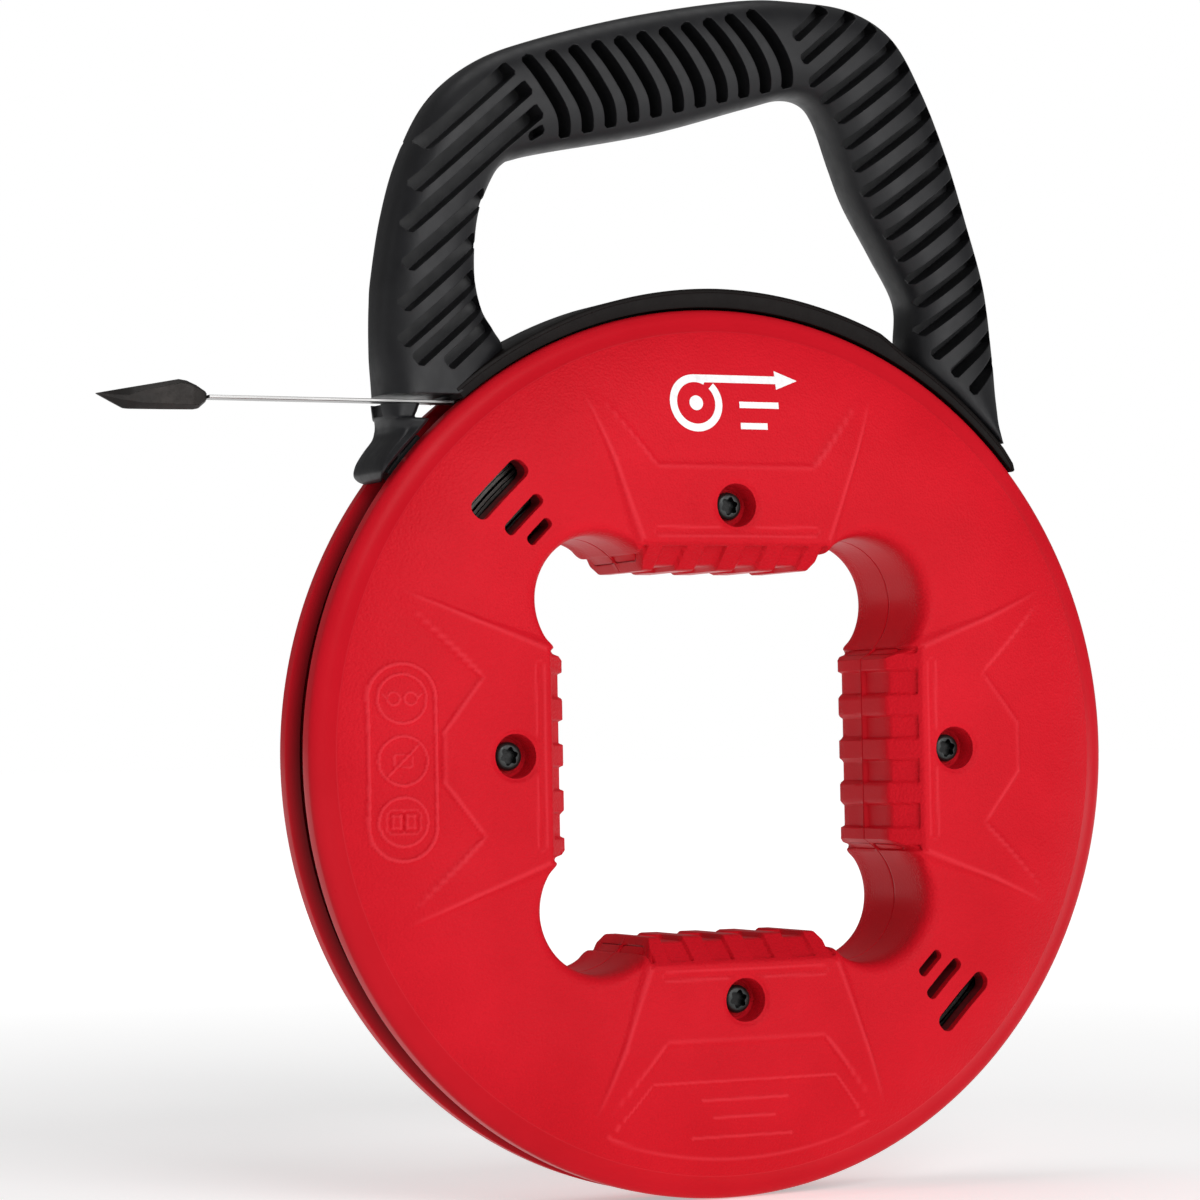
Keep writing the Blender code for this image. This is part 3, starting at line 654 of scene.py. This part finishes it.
def painted_highlight_of(x, z, plain):
    """How sharply the face is bent outwards at each point, 0 to 1: a painted highlight lightens the red
    there.
    """
    panels = smooth(0.03, 0.50, outward_bend(lambda a, b: face_height(a, b, True), x, z, 1.5))
    if plain:
        return panels
    relief = smooth(0.05, 0.60, outward_bend(lambda a, b: face_height(a, b) - face_height(a, b, True), x,
                                             z, 0.85))
    for k in range(4):
        sx, sz = polar(SCREW_R, 90 * k)
        relief = relief * smooth(RECESS_R + 1.6, RECESS_R + 2.8, np.hypot(x - sx, z - sz))
    return np.maximum(panels, relief)


WINDOWS = ((102.4, 20.6, 6.0), (92.6, 14.4, 3.6), (86.0, 9.0, 3.1))  # radius, length, width
WINDOW_ANGLES = (134.5, 314.5)
COLLAR = 1.3                # wall of the well round each window


def window_outline(radius, length, width, middle, grow=0.0):
    """Slot across the radius with well rounded corners."""
    points = []
    round_by = width * 0.42 + grow
    half_long, half_wide = length / 2 + grow - round_by, width / 2 + grow - round_by
    for side_x, side_z, start in ((1, 1, 90), (1, -1, 0), (-1, -1, -90), (-1, 1, -180)):
        for i in range(7):
            turn = radians(start - 90 * i / 6)
            points.append((side_x * half_long + round_by * cos(turn),
                           side_z * half_wide + round_by * sin(turn)))
    c, s = cos(radians(middle)), sin(radians(middle))
    out = []
    for along, up in points:
        bend = -along * along / (2 * radius)
        out.append(((radius + up + bend) * c - along * s, (radius + up + bend) * s + along * c))
    return out


def front_cutters():
    bm = bmesh.new()
    for radius, length, width in WINDOWS:
        for middle in WINDOW_ANGLES:
            prism(bm, window_outline(radius, length, width, middle), -26.0, -12.0)
    for k in range(4):
        x, z = polar(SCREW_R, 90 * k)
        prism(bm, [(x + RECESS_R * cos(a), z + RECESS_R * sin(a)) for a in np.linspace(0, 2 * pi, 41)[:-1]],
              -26.0, -18.6)
    return bm_mesh(bm, "front_cutters")


def window_wells():
    """Red walls that lead from each window down to the wound tape."""
    walls, holes = bmesh.new(), bmesh.new()
    for radius, length, width in WINDOWS:
        for middle in WINDOW_ANGLES:
            x, z = polar(radius, middle)
            top = -float(face_height(np.array(x), np.array(z), plain=True)) + 1.5
            prism(walls, window_outline(radius, length, width, middle, COLLAR), top, -12.6)
            prism(holes, window_outline(radius, length, width, middle, 0.02), top - 2.0, -12.0)
    # The well walls take the red darkened as painted shade.
    obj = piece("window_wells", bm_mesh(walls, "window_wells"), WELL_RED_PAINTED_SHADE)
    return cut(obj, bm_mesh(holes, "window_holes"), 40)


def recess_cups():
    """Red cups behind the four holes of the front shell, with a floor for each screw."""
    bm = bmesh.new()
    for k in range(4):
        x, z = polar(SCREW_R, 90 * k)
        cup = turned([(2.3, -14.7), (4.9, -14.7), (5.7, -15.5), (RECESS_R - 0.02, -20.4),
                      (RECESS_R + 1.3, -20.4),
                      (RECESS_R + 1.3, -12.4), (2.3, -12.4), (2.3, -14.7)], 40)
        bmesh.ops.translate(cup, vec=(x, 0, z), verts=cup.verts)
        mesh = bpy.data.meshes.new("cup")
        cup.to_mesh(mesh)
        cup.free()
        bm.from_mesh(mesh)
        bpy.data.meshes.remove(mesh)
    return bm_mesh(bm, "recess_cups", recalc=False)


def build_shells():
    front = piece("front_shell_skin", shell("front_shell_skin", -1, True), RED)
    cut(front, front_cutters(), 42)
    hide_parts("front_shell")
    cups = piece("front_screw_cups", recess_cups(), RED)
    rear = piece("rear_shell_skin", shell("rear_shell_skin", 1, False), RED)
    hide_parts("rear_shell")
    for obj in (front, cups, window_wells(), rear):
        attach(obj, "case")


# ---- case screws ---------------------------------------------------------------------------------
def screw_head(name, x, z):
    """Pan head with a six-lobed socket and a short shank; the socket takes a much darker copy of the screw
    steel as painted shade.
    """
    top = -HEAD_TOP
    profile = [(0.0, -8.0), (2.0, -8.0), (2.0, top + 2.6), (3.7, top + 2.6), (3.95, top + 2.3),
               (3.95, top + 1.2),
               (3.8, top + 0.6), (3.4, top + 0.2), (2.9, top + 0.02), (1.2, top), (0.0, top)]
    bm = turned(profile, 48)
    bmesh.ops.translate(bm, vec=(x, 0, z), verts=bm.verts)
    obj = piece(name, bm_mesh(bm, name), SCREW, 50)
    cutter = bmesh.new()
    outline = []
    for i in range(72):
        turn = 2 * pi * i / 72
        r = 2.35 + 0.34 * cos(6 * turn)
        outline.append((x + r * cos(turn + 0.3), z + r * sin(turn + 0.3)))
    prism(cutter, outline, top - 1.0, top + 2.2)
    cut(obj, bm_mesh(cutter, name), 35)
    obj.data.materials.clear()
    obj.data.materials.append(SCREW)
    obj.data.materials.append(SOCKET_PAINTED_SHADE)
    for face in obj.data.polygons:
        away = face.center / MM - Vector((x, 0, z))
        in_socket = top + 0.1 < away.y < top + 2.3 and Vector((away.x, away.z)).length < 2.75
        face.material_index = int(in_socket)
    return obj


def build_screws():
    for side, angle in (("right", 0), ("top", 90), ("left", 180), ("bottom", 270)):
        node = "case_screw_" + side
        obj = screw_head(node + "_torx", *polar(SCREW_R, angle))
        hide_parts(node)
        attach(obj, "case")


# ---- wound tape ----------------------------------------------------------------------------------
def coil_turns(name, y_from, y_to, r_from, r_to, turns, seed):
    """Spiral of flat tape, lying loosely, so each turn's edge sits a little differently."""
    steps = 120
    count = int(turns * steps)
    rng = np.random.default_rng(seed)
    angle = np.arange(count + 1) / steps * 2 * pi
    t = np.arange(count + 1) / count
    waves = sum(a * np.sin(f * angle + p) for a, f, p in zip(rng.uniform(0.1, 0.25, 4),
                                                             (0.37, 0.81, 1.43, 2.17),
                                                            rng.uniform(0, 6, 4)))
    radius = r_from + (r_to - r_from) * t + 0.35 * waves
    middle = (y_from + y_to) / 2 + 0.25 * waves
    half = (y_to - y_from) / 2 - 0.35
    section = [(-0.42, -1.0), (0.42, -1.0), (0.42, -0.93), (0.42, 0.93), (0.42, 1.0), (-0.42, 1.0)]
    points = np.empty((count + 1, len(section), 3))
    for k, (dr, dy) in enumerate(section):
        points[:, k, 0] = (radius + dr) * np.cos(angle)
        points[:, k, 1] = middle + dy * half
        points[:, k, 2] = (radius + dr) * np.sin(angle)
    return grid_mesh(name, points, wrap_rows=False)


def build_coil():
    """Wound tape as five bundles of turns: two beside the free lane and three under it."""
    parts = ((-11.6, -4.3, 99.0, 113.4, 11, 1), (4.3, 11.6, 99.0, 113.4, 11, 2),
             (-3.6, 3.6, 85.5, 95.8, 8, 3),
             (-11.6, -4.3, 85.5, 97.0, 8, 4), (4.3, 11.6, 85.5, 97.0, 8, 5))
    for i, (y0, y1, r0, r1, turns, seed) in enumerate(parts):
        name = "tape_turns_%d" % (i + 1)
        # The wound turns take the darkened steel, as painted shade.
        obj = piece(name, coil_turns(name, y0, y1, r0, r1, turns, seed), COIL_STEEL_PAINTED_SHADE, 40)
        if i == 0:
            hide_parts("tape_coil")
        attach(obj, "case")


# ---- handle --------------------------------------------------------------------------------------
STATIONS = [  # outer x, z, inner x, z
    (-98.8, 99.4, -79.8, 99.4), (-99.3, 103.5, -74.6, 102.4), (-99.9, 109.0, -67.8, 107.0),
    (-100.1, 114.5, -62.8, 112.6), (-100.0, 119.0, -65.6, 117.8), (-99.7, 124.5, -69.2, 123.6),
    (-99.0, 132.0, -71.2, 134.0), (-95.9, 149.0, -70.0, 149.0),
    (-90.9, 165.5, -65.5, 160.0), (-82.2, 181.8, -61.5, 164.6), (-69.0, 193.0, -57.0, 166.5),
    (-51.5, 200.2, -47.0, 169.0), (-20.8, 208.8, -14.0, 175.8), (12.0, 215.2, 16.0, 184.6),
    (30.5, 216.2, 28.5, 188.0), (49.0, 214.6, 36.5, 186.9), (62.8, 207.2, 41.0, 181.6),
    (72.4, 192.2, 45.6, 169.0), (80.2, 174.0, 50.2, 158.0), (86.8, 153.2, 59.0, 143.8),
    (91.9, 134.5, 66.6, 130.6), (94.5, 114.2, 66.5, 119.0), (95.3, 104.0, 67.6, 110.6),
    (95.4, 96.8, 77.0, 102.8), (94.7, 91.4, 88.4, 93.4), (94.0, 88.6, 93.2, 88.9),
]
HANDLE_HALF = 12.0
POCKET_DRAFT = 0.02


def smooth_run(rows, steps):
    """Catmull-Rom through rows of numbers, with some steps to each span."""
    rows = np.array(rows, float)
    ends = np.vstack([2 * rows[0] - rows[1], rows, 2 * rows[-1] - rows[-2]])
    out = []
    for a, b, c, d in zip(ends, ends[1:], ends[2:], ends[3:]):
        for t in np.arange(steps) / steps:
            out.append(0.5 * (2 * b + (c - a) * t + (2 * a - 5 * b + 4 * c - d) * t * t
                              + (3 * b - a - 3 * c + d) * t ** 3))
    return np.array(out + [rows[-1]])


def spline_rows(rows, count):
    """Smooth run through stations, evenly spaced along its middle."""
    out = smooth_run(rows, 24)
    middle = (out[:, :2] + out[:, 2:4]) / 2
    length = np.concatenate([[0], np.cumsum(np.linalg.norm(np.diff(middle, axis=0), axis=1))])
    places = np.linspace(0, length[-1], count)
    return np.stack([np.interp(places, length, out[:, k]) for k in range(out.shape[1])], axis=1)


def handle_section(count):
    """Points (across, depth) right round a unit section, -1 at the inner side and 1 at the outer."""
    turn = (np.arange(count) + 0.5) / count * 2 * pi
    power = 2 / 2.7
    c, s = np.cos(turn), np.sin(turn)
    return np.sign(c) * np.abs(c) ** power, np.sign(s) * np.abs(s) ** power


def handle_body():
    """Bow lofted between its outer and inner edge, rounded like a grip, boxy at the jaw."""
    rows = spline_rows(STATIONS, 420)
    across, depth = handle_section(96)
    outer, inner = rows[:, :2], rows[:, 2:4]
    middle, reach = (outer + inner) / 2, (outer - inner) / 2
    points = np.empty((len(rows), len(across), 3))
    for k in (0, 1):
        points[:, :, 2 * k] = middle[:, None, k] + reach[:, None, k] * across[None, :]
    points[:, :, 1] = depth[None, :] * HANDLE_HALF
    boxy = smooth(20, 0, np.arange(len(rows)))[:, None] * smooth(0.2, -0.3, across)[None, :]
    square = np.clip(across * 1.35, -1, 1)
    square_depth = np.clip(depth * 1.35, -1, 1)
    for k in (0, 1):
        sharp = middle[:, None, k] + reach[:, None, k] * square[None, :]
        points[:, :, 2 * k] += (sharp - points[:, :, 2 * k]) * boxy
    points[:, :, 1] += (square_depth[None, :] * HANDLE_HALF - points[:, :, 1]) * boxy
    return capped(grid_mesh("handle_bow", points, wrap_rows=False))


def slot_outline(line, width):
    """Outline of a slot of some width along a line of points, with softly rounded ends."""
    fine = smooth_run(line, 4) if len(line) > 2 else np.array(line, float)
    step = np.gradient(fine, axis=0)
    step /= np.linalg.norm(step, axis=1, keepdims=True)
    normal = np.stack([-step[:, 1], step[:, 0]], axis=1)
    half = width / 2
    nip = min(0.9, half * 0.6)
    left, right = fine + normal * half, fine - normal * half
    out = [left[0] + step[0] * nip, *left[1:-1], left[-1] - step[-1] * nip,
           left[-1] - normal[-1] * nip * 0.35,
           left[-1] - normal[-1] * nip, right[-1] + normal[-1] * nip, right[-1] - step[-1] * nip,
           *right[1:-1][::-1], right[0] + step[0] * nip, right[0] + normal[0] * nip,
           left[0] - normal[0] * nip]
    return [tuple(p) for p in out]


BOW = np.array([row[:2] for row in STATIONS] + [row[2:] for row in STATIONS[::-1]])


def gap_to_edge(points):
    """Distance from each point to the bow's outline, negative outside it."""
    points = np.asarray(points, float)
    start, end = BOW, np.roll(BOW, -1, axis=0)
    step = end - start
    rel = points[:, None, :] - start[None]
    t = np.clip((rel * step).sum(-1) / (step ** 2).sum(-1), 0, 1)
    gap = np.linalg.norm(rel - t[..., None] * step, axis=-1).min(axis=1)
    crosses = (start[None, :, 1] > points[:, None, 1]) != (end[None, :, 1] > points[:, None, 1])
    rise = np.where(np.abs(step[:, 1]) < 1e-9, 1e-9, step[:, 1])
    reach = start[None, :, 0] + (points[:, None, 1] - start[None, :, 1]) / rise * step[None, :, 0]
    inside = (crosses & (points[:, None, 0] < reach)).sum(axis=1) % 2 == 1
    return np.where(inside, gap, -gap)


def held_in(start, end, start_gap, end_gap):
    """Part of a slot's line that keeps clear of the bow's outline at both ends."""
    t = np.linspace(-0.15, 1.25, 281)[:, None]
    line = np.array(start) * (1 - t) + np.array(end) * t
    gap = gap_to_edge(line)
    middle = len(line) // 2
    first = next(i for i in range(middle, -1, -1) if gap[i] < start_gap or t[i] <= 0)
    last = next(i for i in range(middle, len(line)) if gap[i] < end_gap or i == len(line) - 1)
    return tuple(line[first]), tuple(line[last])


def left_leg_slots():
    """Nine parallel pockets that climb to the right."""
    starts = [(-88.4, 167.6), (-91.6, 155.6), (-94.2, 144.4), (-95.2, 133.0), (-95.6, 122.6), (-95.6, 112.9),
              (-92.0, 107.8), (-83.0, 107.2)]
    ends = [(-61.8, 190.6), (-57.0, 185.4), (-53.6, 179.0), (-70.8, 153.8), (-72.4, 142.6), (-72.2, 133.0),
            (-71.2, 125.8), (-69.0, 119.4)]
    lines = [held_in(a, b, 4.4, 1.5) if i > 2 else (a, b) for i, (a, b) in enumerate(zip(starts, ends))]
    lines.append(((-56.6, 171.2), (-52.2, 174.0)))
    return [slot_outline(line, 4.4 if i < 8 else 2.6) for i, line in enumerate(lines)]


def grip_slots():
    """Eleven curved slots that lean the other way."""
    first = np.array([(-57.4, 194.2), (-51.6, 186.0), (-46.9, 178.6), (-45.0, 171.9)])
    last = np.array([(12.9, 211.3), (20.0, 202.6), (23.8, 195.8), (25.6, 189.8)])
    return [slot_outline(first + (last - first) * i / 10, 3.9) for i in range(11)]


def right_leg_slots(start_gap):
    """Seventeen pockets that climb to the right, open to the leg's outer side."""
    starts = [(26.6, 203.8), (29.2, 197.4), (32.6, 191.2), (36.5, 185.9), (40.8, 180.2), (44.6, 173.9),
              (46.2, 166.6), (49.4, 159.8), (52.9, 153.6), (56.8, 147.6), (60.8, 141.6), (64.4, 135.2),
              (67.0, 128.4), (67.6, 120.6), (71.2, 113.6), (77.0, 108.4), (83.0, 103.4)]
    ends = [(38.0, 213.6), (46.4, 211.8), (53.2, 208.4), (59.4, 203.4), (64.2, 197.8), (67.9, 191.6),
            (71.4, 184.8),
            (74.6, 178.4), (77.6, 171.6), (80.2, 164.8), (82.6, 157.8), (85.0, 150.4), (87.2, 143.0),
            (89.4, 136.0),
            (90.8, 128.6), (91.8, 120.8), (92.2, 112.6)]
    return [slot_outline(held_in(a, b, start_gap, 1.4), 3.5) for a, b in zip(starts, ends)]


def pocket_cutters(front, back, floor):
    """Pockets from both sides, down to a web in the middle of the handle."""
    bm = bmesh.new()
    for side, outlines in ((-1, front), (1, back)):
        for outline in outlines:
            prism(bm, outline, side * 14.0, side * floor, POCKET_DRAFT)
    return bm_mesh(bm, "pockets")


def build_handle():
    obj = piece("handle_bow", handle_body(), BLACK, 60)
    cut(obj, pocket_cutters(left_leg_slots(), left_leg_slots(), 3.4), 40)
    cut(obj, pocket_cutters(grip_slots(), grip_slots(), 1.4), 40)
    cut(obj, pocket_cutters(right_leg_slots(1.3), right_leg_slots(4.0), 2.2), 40)
    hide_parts("handle")
    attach(obj, "handle")


BAND_TOP = ((39.8, 126.7), (40.6, 127.6), (43.0, 128.3), (54.0, 128.8), (61.5, 129.3), (66.0, 131.2),
            (90.0, 131.0),
            (105.0, 130.4), (115.0, 129.6), (128.6, 129.2))   # angle, outer radius
RIB_R, RIB_HALF = 122.8, 2.6


def band_mesh(count=320):
    """Band along the rim: a small raised lip at the front and a rib that lies in the groove."""
    degrees = np.linspace(BAND_TOP[0][0], BAND_TOP[-1][0], count)
    top = np.interp(degrees, *zip(*BAND_TOP))
    angle, c, half = np.radians(degrees), 0.8, BAND_HALF
    section = [(BAND_IN, -half + 0.5, 0), (BAND_IN + 0.5, -half + 0.25, 0), (-1.3, -half + 0.25, 1),
               (-1.15, -half, 1), (-c, -half, 1), (-c * 0.3, -half + c * 0.3, 1), (0, -half + c, 1),
               (0, half - c, 1), (-c * 0.3, half - c * 0.3, 1), (-c, half, 1), (BAND_IN + 0.5, half, 0),
               (BAND_IN, half - 0.5, 0), (BAND_IN, RIB_HALF, 0), (RIB_R, RIB_HALF, 2), (RIB_R, -RIB_HALF, 2),
               (BAND_IN, -RIB_HALF, 0)]
    under = BAND_IN - 0.05 - (BAND_IN - RIB_R) * smooth(42.0, 44.0, degrees) * smooth(121.0, 119.0, degrees)
    points = np.empty((count, len(section), 3))
    for k, (r, y, kind) in enumerate(section):
        radius = (np.minimum(np.full(count, r), top - 0.4), np.maximum(top + r, BAND_IN + 0.1), under)[kind]
        points[:, k] = np.stack([radius * np.cos(angle), np.full(count, y), radius * np.sin(angle)], axis=1)
    return capped(grid_mesh("saddle_band_moulding", points, wrap_rows=False))


def build_band():
    obj = piece("saddle_band_moulding", band_mesh(), BAND_BLACK, 30)
    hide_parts("saddle_band")
    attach(obj, "handle")


GUIDE_ROWS = (  # height, left edge, right edge at the front, right edge at the back, half depth
    (75.4, -101.2, -100.3, -99.6, 6.5), (76.3, -102.2, -101.1, -99.9, 9.0),
    (78.0, -102.9, -101.0, -99.4, 11.0),
    (81.0, -102.3, -98.7, -97.5, 12.0), (84.4, -100.3, -95.6, -94.8, 12.1), (87.7, -97.9, -92.4, -91.6, 12.1),
    (90.0, -97.7, -90.2, -88.8, 12.1), (92.2, -98.2, -88.3, -86.0, 12.0), (92.7, -98.6, -88.4, -86.4, 10.9),
    (93.1, -98.9, -91.0, -90.4, 9.2), (94.9, -99.4, -90.4, -90.0, 9.0), (96.9, -99.8, -89.6, -89.2, 9.0),
)


def guide_mesh():
    """Lower jaw that carries the tape, ending in a scooped tongue with a bevelled inner edge."""
    rows = smooth_run(GUIDE_ROWS, 12)
    low, left, right, right_back, half = (rows[:, k][:, None] for k in range(5))
    turn = np.linspace(-pi / 2, pi / 2, 29)
    bulge = np.abs(np.cos(turn)) ** (2 / 2.3)
    deep = np.sign(np.sin(turn)) * np.abs(np.sin(turn)) ** (2 / 2.3)
    edge = right + (right_back - right) * (deep[None, :] + 1) / 2
    left = np.minimum(left, np.minimum(right, right_back) - 0.9)
    cut_in = np.minimum(1.4, (edge - left) * 0.35)
    flat = edge - cut_in - np.minimum(0.3 * (edge - left), 2.4)
    x = flat - (flat - left) * bulge[None, :]
    scoop = 1.6 * smooth(92.3, 89.5, low) * smooth(77.0, 83.0, low)
    y = half * deep[None, :] + scoop * smooth(-0.45, -0.95, deep)[None, :]
    front = [(right, -half + 1.5), (right - cut_in[:, :1], -half + 0.1)]
    back = [(right_back - cut_in[:, -1:], half), (right_back, half - 1.3)]
    columns = [np.stack([a, b + 0 * low, low], axis=-1) for a, b in front]
    columns += [np.stack([x, y, low + 0 * x], axis=-1)]
    columns += [np.stack([a, b + 0 * low, low], axis=-1) for a, b in back]
    return capped(grid_mesh("guide_jaw", np.concatenate(columns, axis=1), wrap_rows=False))


def build_guide():
    obj = piece("guide_jaw", guide_mesh(), BLACK, 32)
    tip_rest = bmesh.new()      # notch that takes the tip's neck when the tape is drawn right in
    prism(tip_rest, [(-103.0, 93.6), (-98.2, 93.6), (-98.2, 99.0), (-103.0, 99.0)], -3.4, 3.4)
    cut(obj, bm_mesh(tip_rest, "tip_rest"), 32)
    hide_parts("tape_guide")
    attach(obj, "handle")


# ---- tape and tip --------------------------------------------------------------------------------
def build_tape():
    x = np.linspace(-148.7, -20.3, 120)
    section = [(-3.17, -0.28), (-3.02, -0.44), (3.02, -0.44), (3.17, -0.28), (3.17, 0.28), (3.02, 0.44),
               (-3.02, 0.44), (-3.17, 0.28)]
    points = np.empty((len(x), len(section), 3))
    for k, (y, z) in enumerate(section):
        points[:, k] = np.stack([x, np.full(len(x), y), np.full(len(x), TAPE_Z + z)], axis=1)
    obj = piece("tape_run", capped(grid_mesh("tape_run", points, wrap_rows=False)), TAPE_STEEL, 25)
    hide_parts("tape_strip")
    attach(obj, "tape")


def build_tip():
    """Spear tip: a broad flat blade with a ground bevel all round and a short neck."""
    x = np.concatenate([np.linspace(-179.45, -170.0, 34), np.linspace(-169.6, -149.05, 70)])
    upper = np.interp(x, [-179.5, -172.0, -164.0, -156.4, -154.2, -151.5, -149.0],
                      [0.45, 1.85, 3.30, 4.70, 4.35, 3.20, 1.60])
    lower = np.interp(x, [-179.5, -175.6, -172.2, -170.6, -160.0, -152.4, -151.0, -149.0],
                      [0.30, -1.75, -3.45, -3.58, -3.50, -3.38, -3.10, -1.40])
    thick = np.interp(x, [-179.5, -177.0, -171.5, -168.0, -153.0, -149.0], [0.45, 0.9, 1.9, 2.38, 2.38, 1.7])
    bevel = np.interp(x, [-179.5, -172.0, -168.0, -153.0, -149.0], [0.9, 2.4, 1.5, 1.1, 0.8])
    middle, half = (upper + lower) / 2, (upper - lower) / 2
    inset = np.maximum(half - bevel, half * 0.25)
    edge = np.minimum(thick, 0.5)
    ring = [(-inset, -thick), (inset, -thick), (half * 0.97, -edge), (half, -edge * 0.6), (half, edge * 0.6),
            (half * 0.97, edge), (inset, thick), (-inset, thick), (-half * 0.97, edge), (-half, edge * 0.6),
            (-half, -edge * 0.6), (-half * 0.97, -edge)]
    points = np.stack([np.stack([x, y + 0 * x, TAPE_Z + middle + z], axis=1) for z, y in ring], axis=1)
    obj = piece("tip_spear", capped(grid_mesh("tip_spear", points, wrap_rows=False)), TIP, 18)
    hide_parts("tape_tip")
    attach(obj, "tape")


def finish_cad_nodes():
    """Nodes shown as packed: each slot gets its finished material."""
    looks = {"tape_anchor_clip": PLAIN_STEEL, "tape_anchor_post": PLAIN_STEEL}
    for side in ("left", "top", "right"):
        looks["groove_shoe_" + side] = BLACK
        looks["shoe_screw_" + side] = PLAIN_STEEL
    for node, material in looks.items():
        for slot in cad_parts[node].material_slots:
            slot.material = material


# ---- white mark ----------------------------------------------------------------------------------
def mark_mesh():
    """A ring with a straight line that leaves it: a plain sign for a tape run off a reel."""
    bm = bmesh.new()

    def sheet(grid):
        rows, columns = len(grid), len(grid[0])
        made = []
        for line in grid:
            row = []
            for x, z in line:
                y = -float(face_height(np.array(x), np.array(z), plain=True)) - 0.06
                row.append(bm.verts.new((x, y, z)))
            made.append(row)
        for i in range(rows - 1):
            for j in range(columns - 1):
                bm.faces.new((made[i][j], made[i + 1][j], made[i + 1][j + 1], made[i][j + 1]))

    cx, cz = -11.5, 97.6
    angles = np.radians(np.linspace(62, 404, 64))
    sheet([[(cx + r * cos(a), cz + r * sin(a)) for a in angles] for r in np.linspace(5.9, 8.1, 4)])
    sheet([[(cx + r * cos(a), cz + r * sin(a)) for a in np.linspace(0, 2 * pi,
                                                                    33)] for r in np.linspace(0.05, 2.1, 4)])
    for x0, x1, z0, z1 in ((-11.0, 14.5, 103.5, 105.7), (2.0, 14.5, 96.4, 98.2), (2.0, 10.5, 90.4, 92.2)):
        sheet([[(x, z) for x in np.linspace(x0, x1, 24)] for z in np.linspace(z0, z1, 4)])
    sheet([[(14.2 + 7.2 * t, 104.6 + (s - 0.5) * 5.4 * (1 - t)) for s in np.linspace(0, 1, 5)]
           for t in np.linspace(0, 0.98, 8)])
    return bm_mesh(bm, "white_mark", recalc=False)


def build_mark():
    obj = piece("white_mark", mark_mesh(), WHITE, 0)
    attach(obj, "case")


# ---- studio --------------------------------------------------------------------------------------
def studio_material():
    """Pale paper that glows a little, more so further away, as on a lit table."""
    n = Nodes("studio_paper")
    n.paint(n.noise(3.0), (0.90, 0.90, 0.90), (0.93, 0.93, 0.93))
    n.shader.inputs["Emission Color"].default_value = (1.0, 1.0, 1.0, 1.0)
    away = n.add("ShaderNodeVectorMath", operation="LENGTH")
    n.link(n.position(), away.inputs[0])
    n.link(n.span(away.outputs["Value"], 0.3, 1.6, 0.42, 0.92), n.shader.inputs["Emission Strength"])
    n.set(Roughness=0.9)
    return n.material


def build_floor():
    mesh = bpy.data.meshes.new("paper_floor")
    far = 18.0
    mesh.from_pydata([(-far, -far, -0.0002), (far, -far, -0.0002), (far, far, -0.0002), (-far, far, -0.0002)],
                     [], [(0, 1, 2, 3)])
    floor = bpy.data.objects.new("paper_floor", mesh)
    bpy.context.scene.collection.objects.link(floor)
    mesh.materials.append(studio_material())


AIR_LIGHT = 0.16
SOFT_BOXES = (("key", (-0.1, -2.3, 1.35), (1.3, 1.2), 25.0), ("front", (0.8, -2.2, 0.55), (1.3, 1.3), 14.5),
              ("top", (0.0, 0.3, 2.2), (1.6, 1.0), 9.0), ("left_rim", (-2.0, 0.7, 0.6), (0.6, 1.4), 1.5))


def area_light(name, place, target, size, power):
    data = bpy.data.lights.new(name, "AREA")
    data.shape = "RECTANGLE"
    data.size, data.size_y = size
    data.energy = power
    obj = bpy.data.objects.new(name, data)
    obj.location = place
    obj.rotation_mode = "QUATERNION"
    obj.rotation_quaternion = (Vector(target) - Vector(place)).to_track_quat("-Z", "Y")
    bpy.context.scene.collection.objects.link(obj)


def build_lights():
    """Low even air, which shows white behind the object, and four soft boxes."""
    world = bpy.data.worlds.new("studio_air")
    bpy.context.scene.world = world
    world.use_nodes = True
    tree = world.node_tree
    background = tree.nodes["Background"]
    background.inputs["Color"].default_value = (1.0, 1.0, 1.0, 1.0)
    seen = tree.nodes.new("ShaderNodeLightPath").outputs["Is Camera Ray"]
    strength = tree.nodes.new("ShaderNodeMapRange")
    strength.inputs["To Min"].default_value = AIR_LIGHT
    strength.inputs["To Max"].default_value = 1.0
    tree.links.new(seen, strength.inputs["Value"])
    tree.links.new(strength.outputs[0], background.inputs["Strength"])
    target = (0.0, 0.0, 0.16)
    for name, place, size, power in SOFT_BOXES:
        area_light(name, place, target, size, power)


def build_camera():
    data = bpy.data.cameras.new("camera")
    data.sensor_width = 36.0
    data.lens = 116.22
    obj = bpy.data.objects.new("camera", data)
    right = Vector((0.90271, -0.42991, -0.01733))
    up = Vector((0.00022, -0.03981, 0.99921))
    forward = Vector((0.43026, 0.90200, 0.03584))
    turn = Matrix((right, up, -forward)).transposed()
    obj.rotation_mode = "QUATERNION"
    obj.rotation_quaternion = turn.to_quaternion()
    obj.location = CENTRE + Vector((-0.500892, -0.982115, 0.004321))
    bpy.context.scene.collection.objects.link(obj)
    bpy.context.scene.camera = obj


build_shells()
build_screws()
build_coil()
build_handle()
build_band()
build_guide()
build_tape()
build_tip()
finish_cad_nodes()
build_mark()
build_floor()
build_lights()
build_camera()
bpy.context.scene.view_settings.view_transform = "Standard"
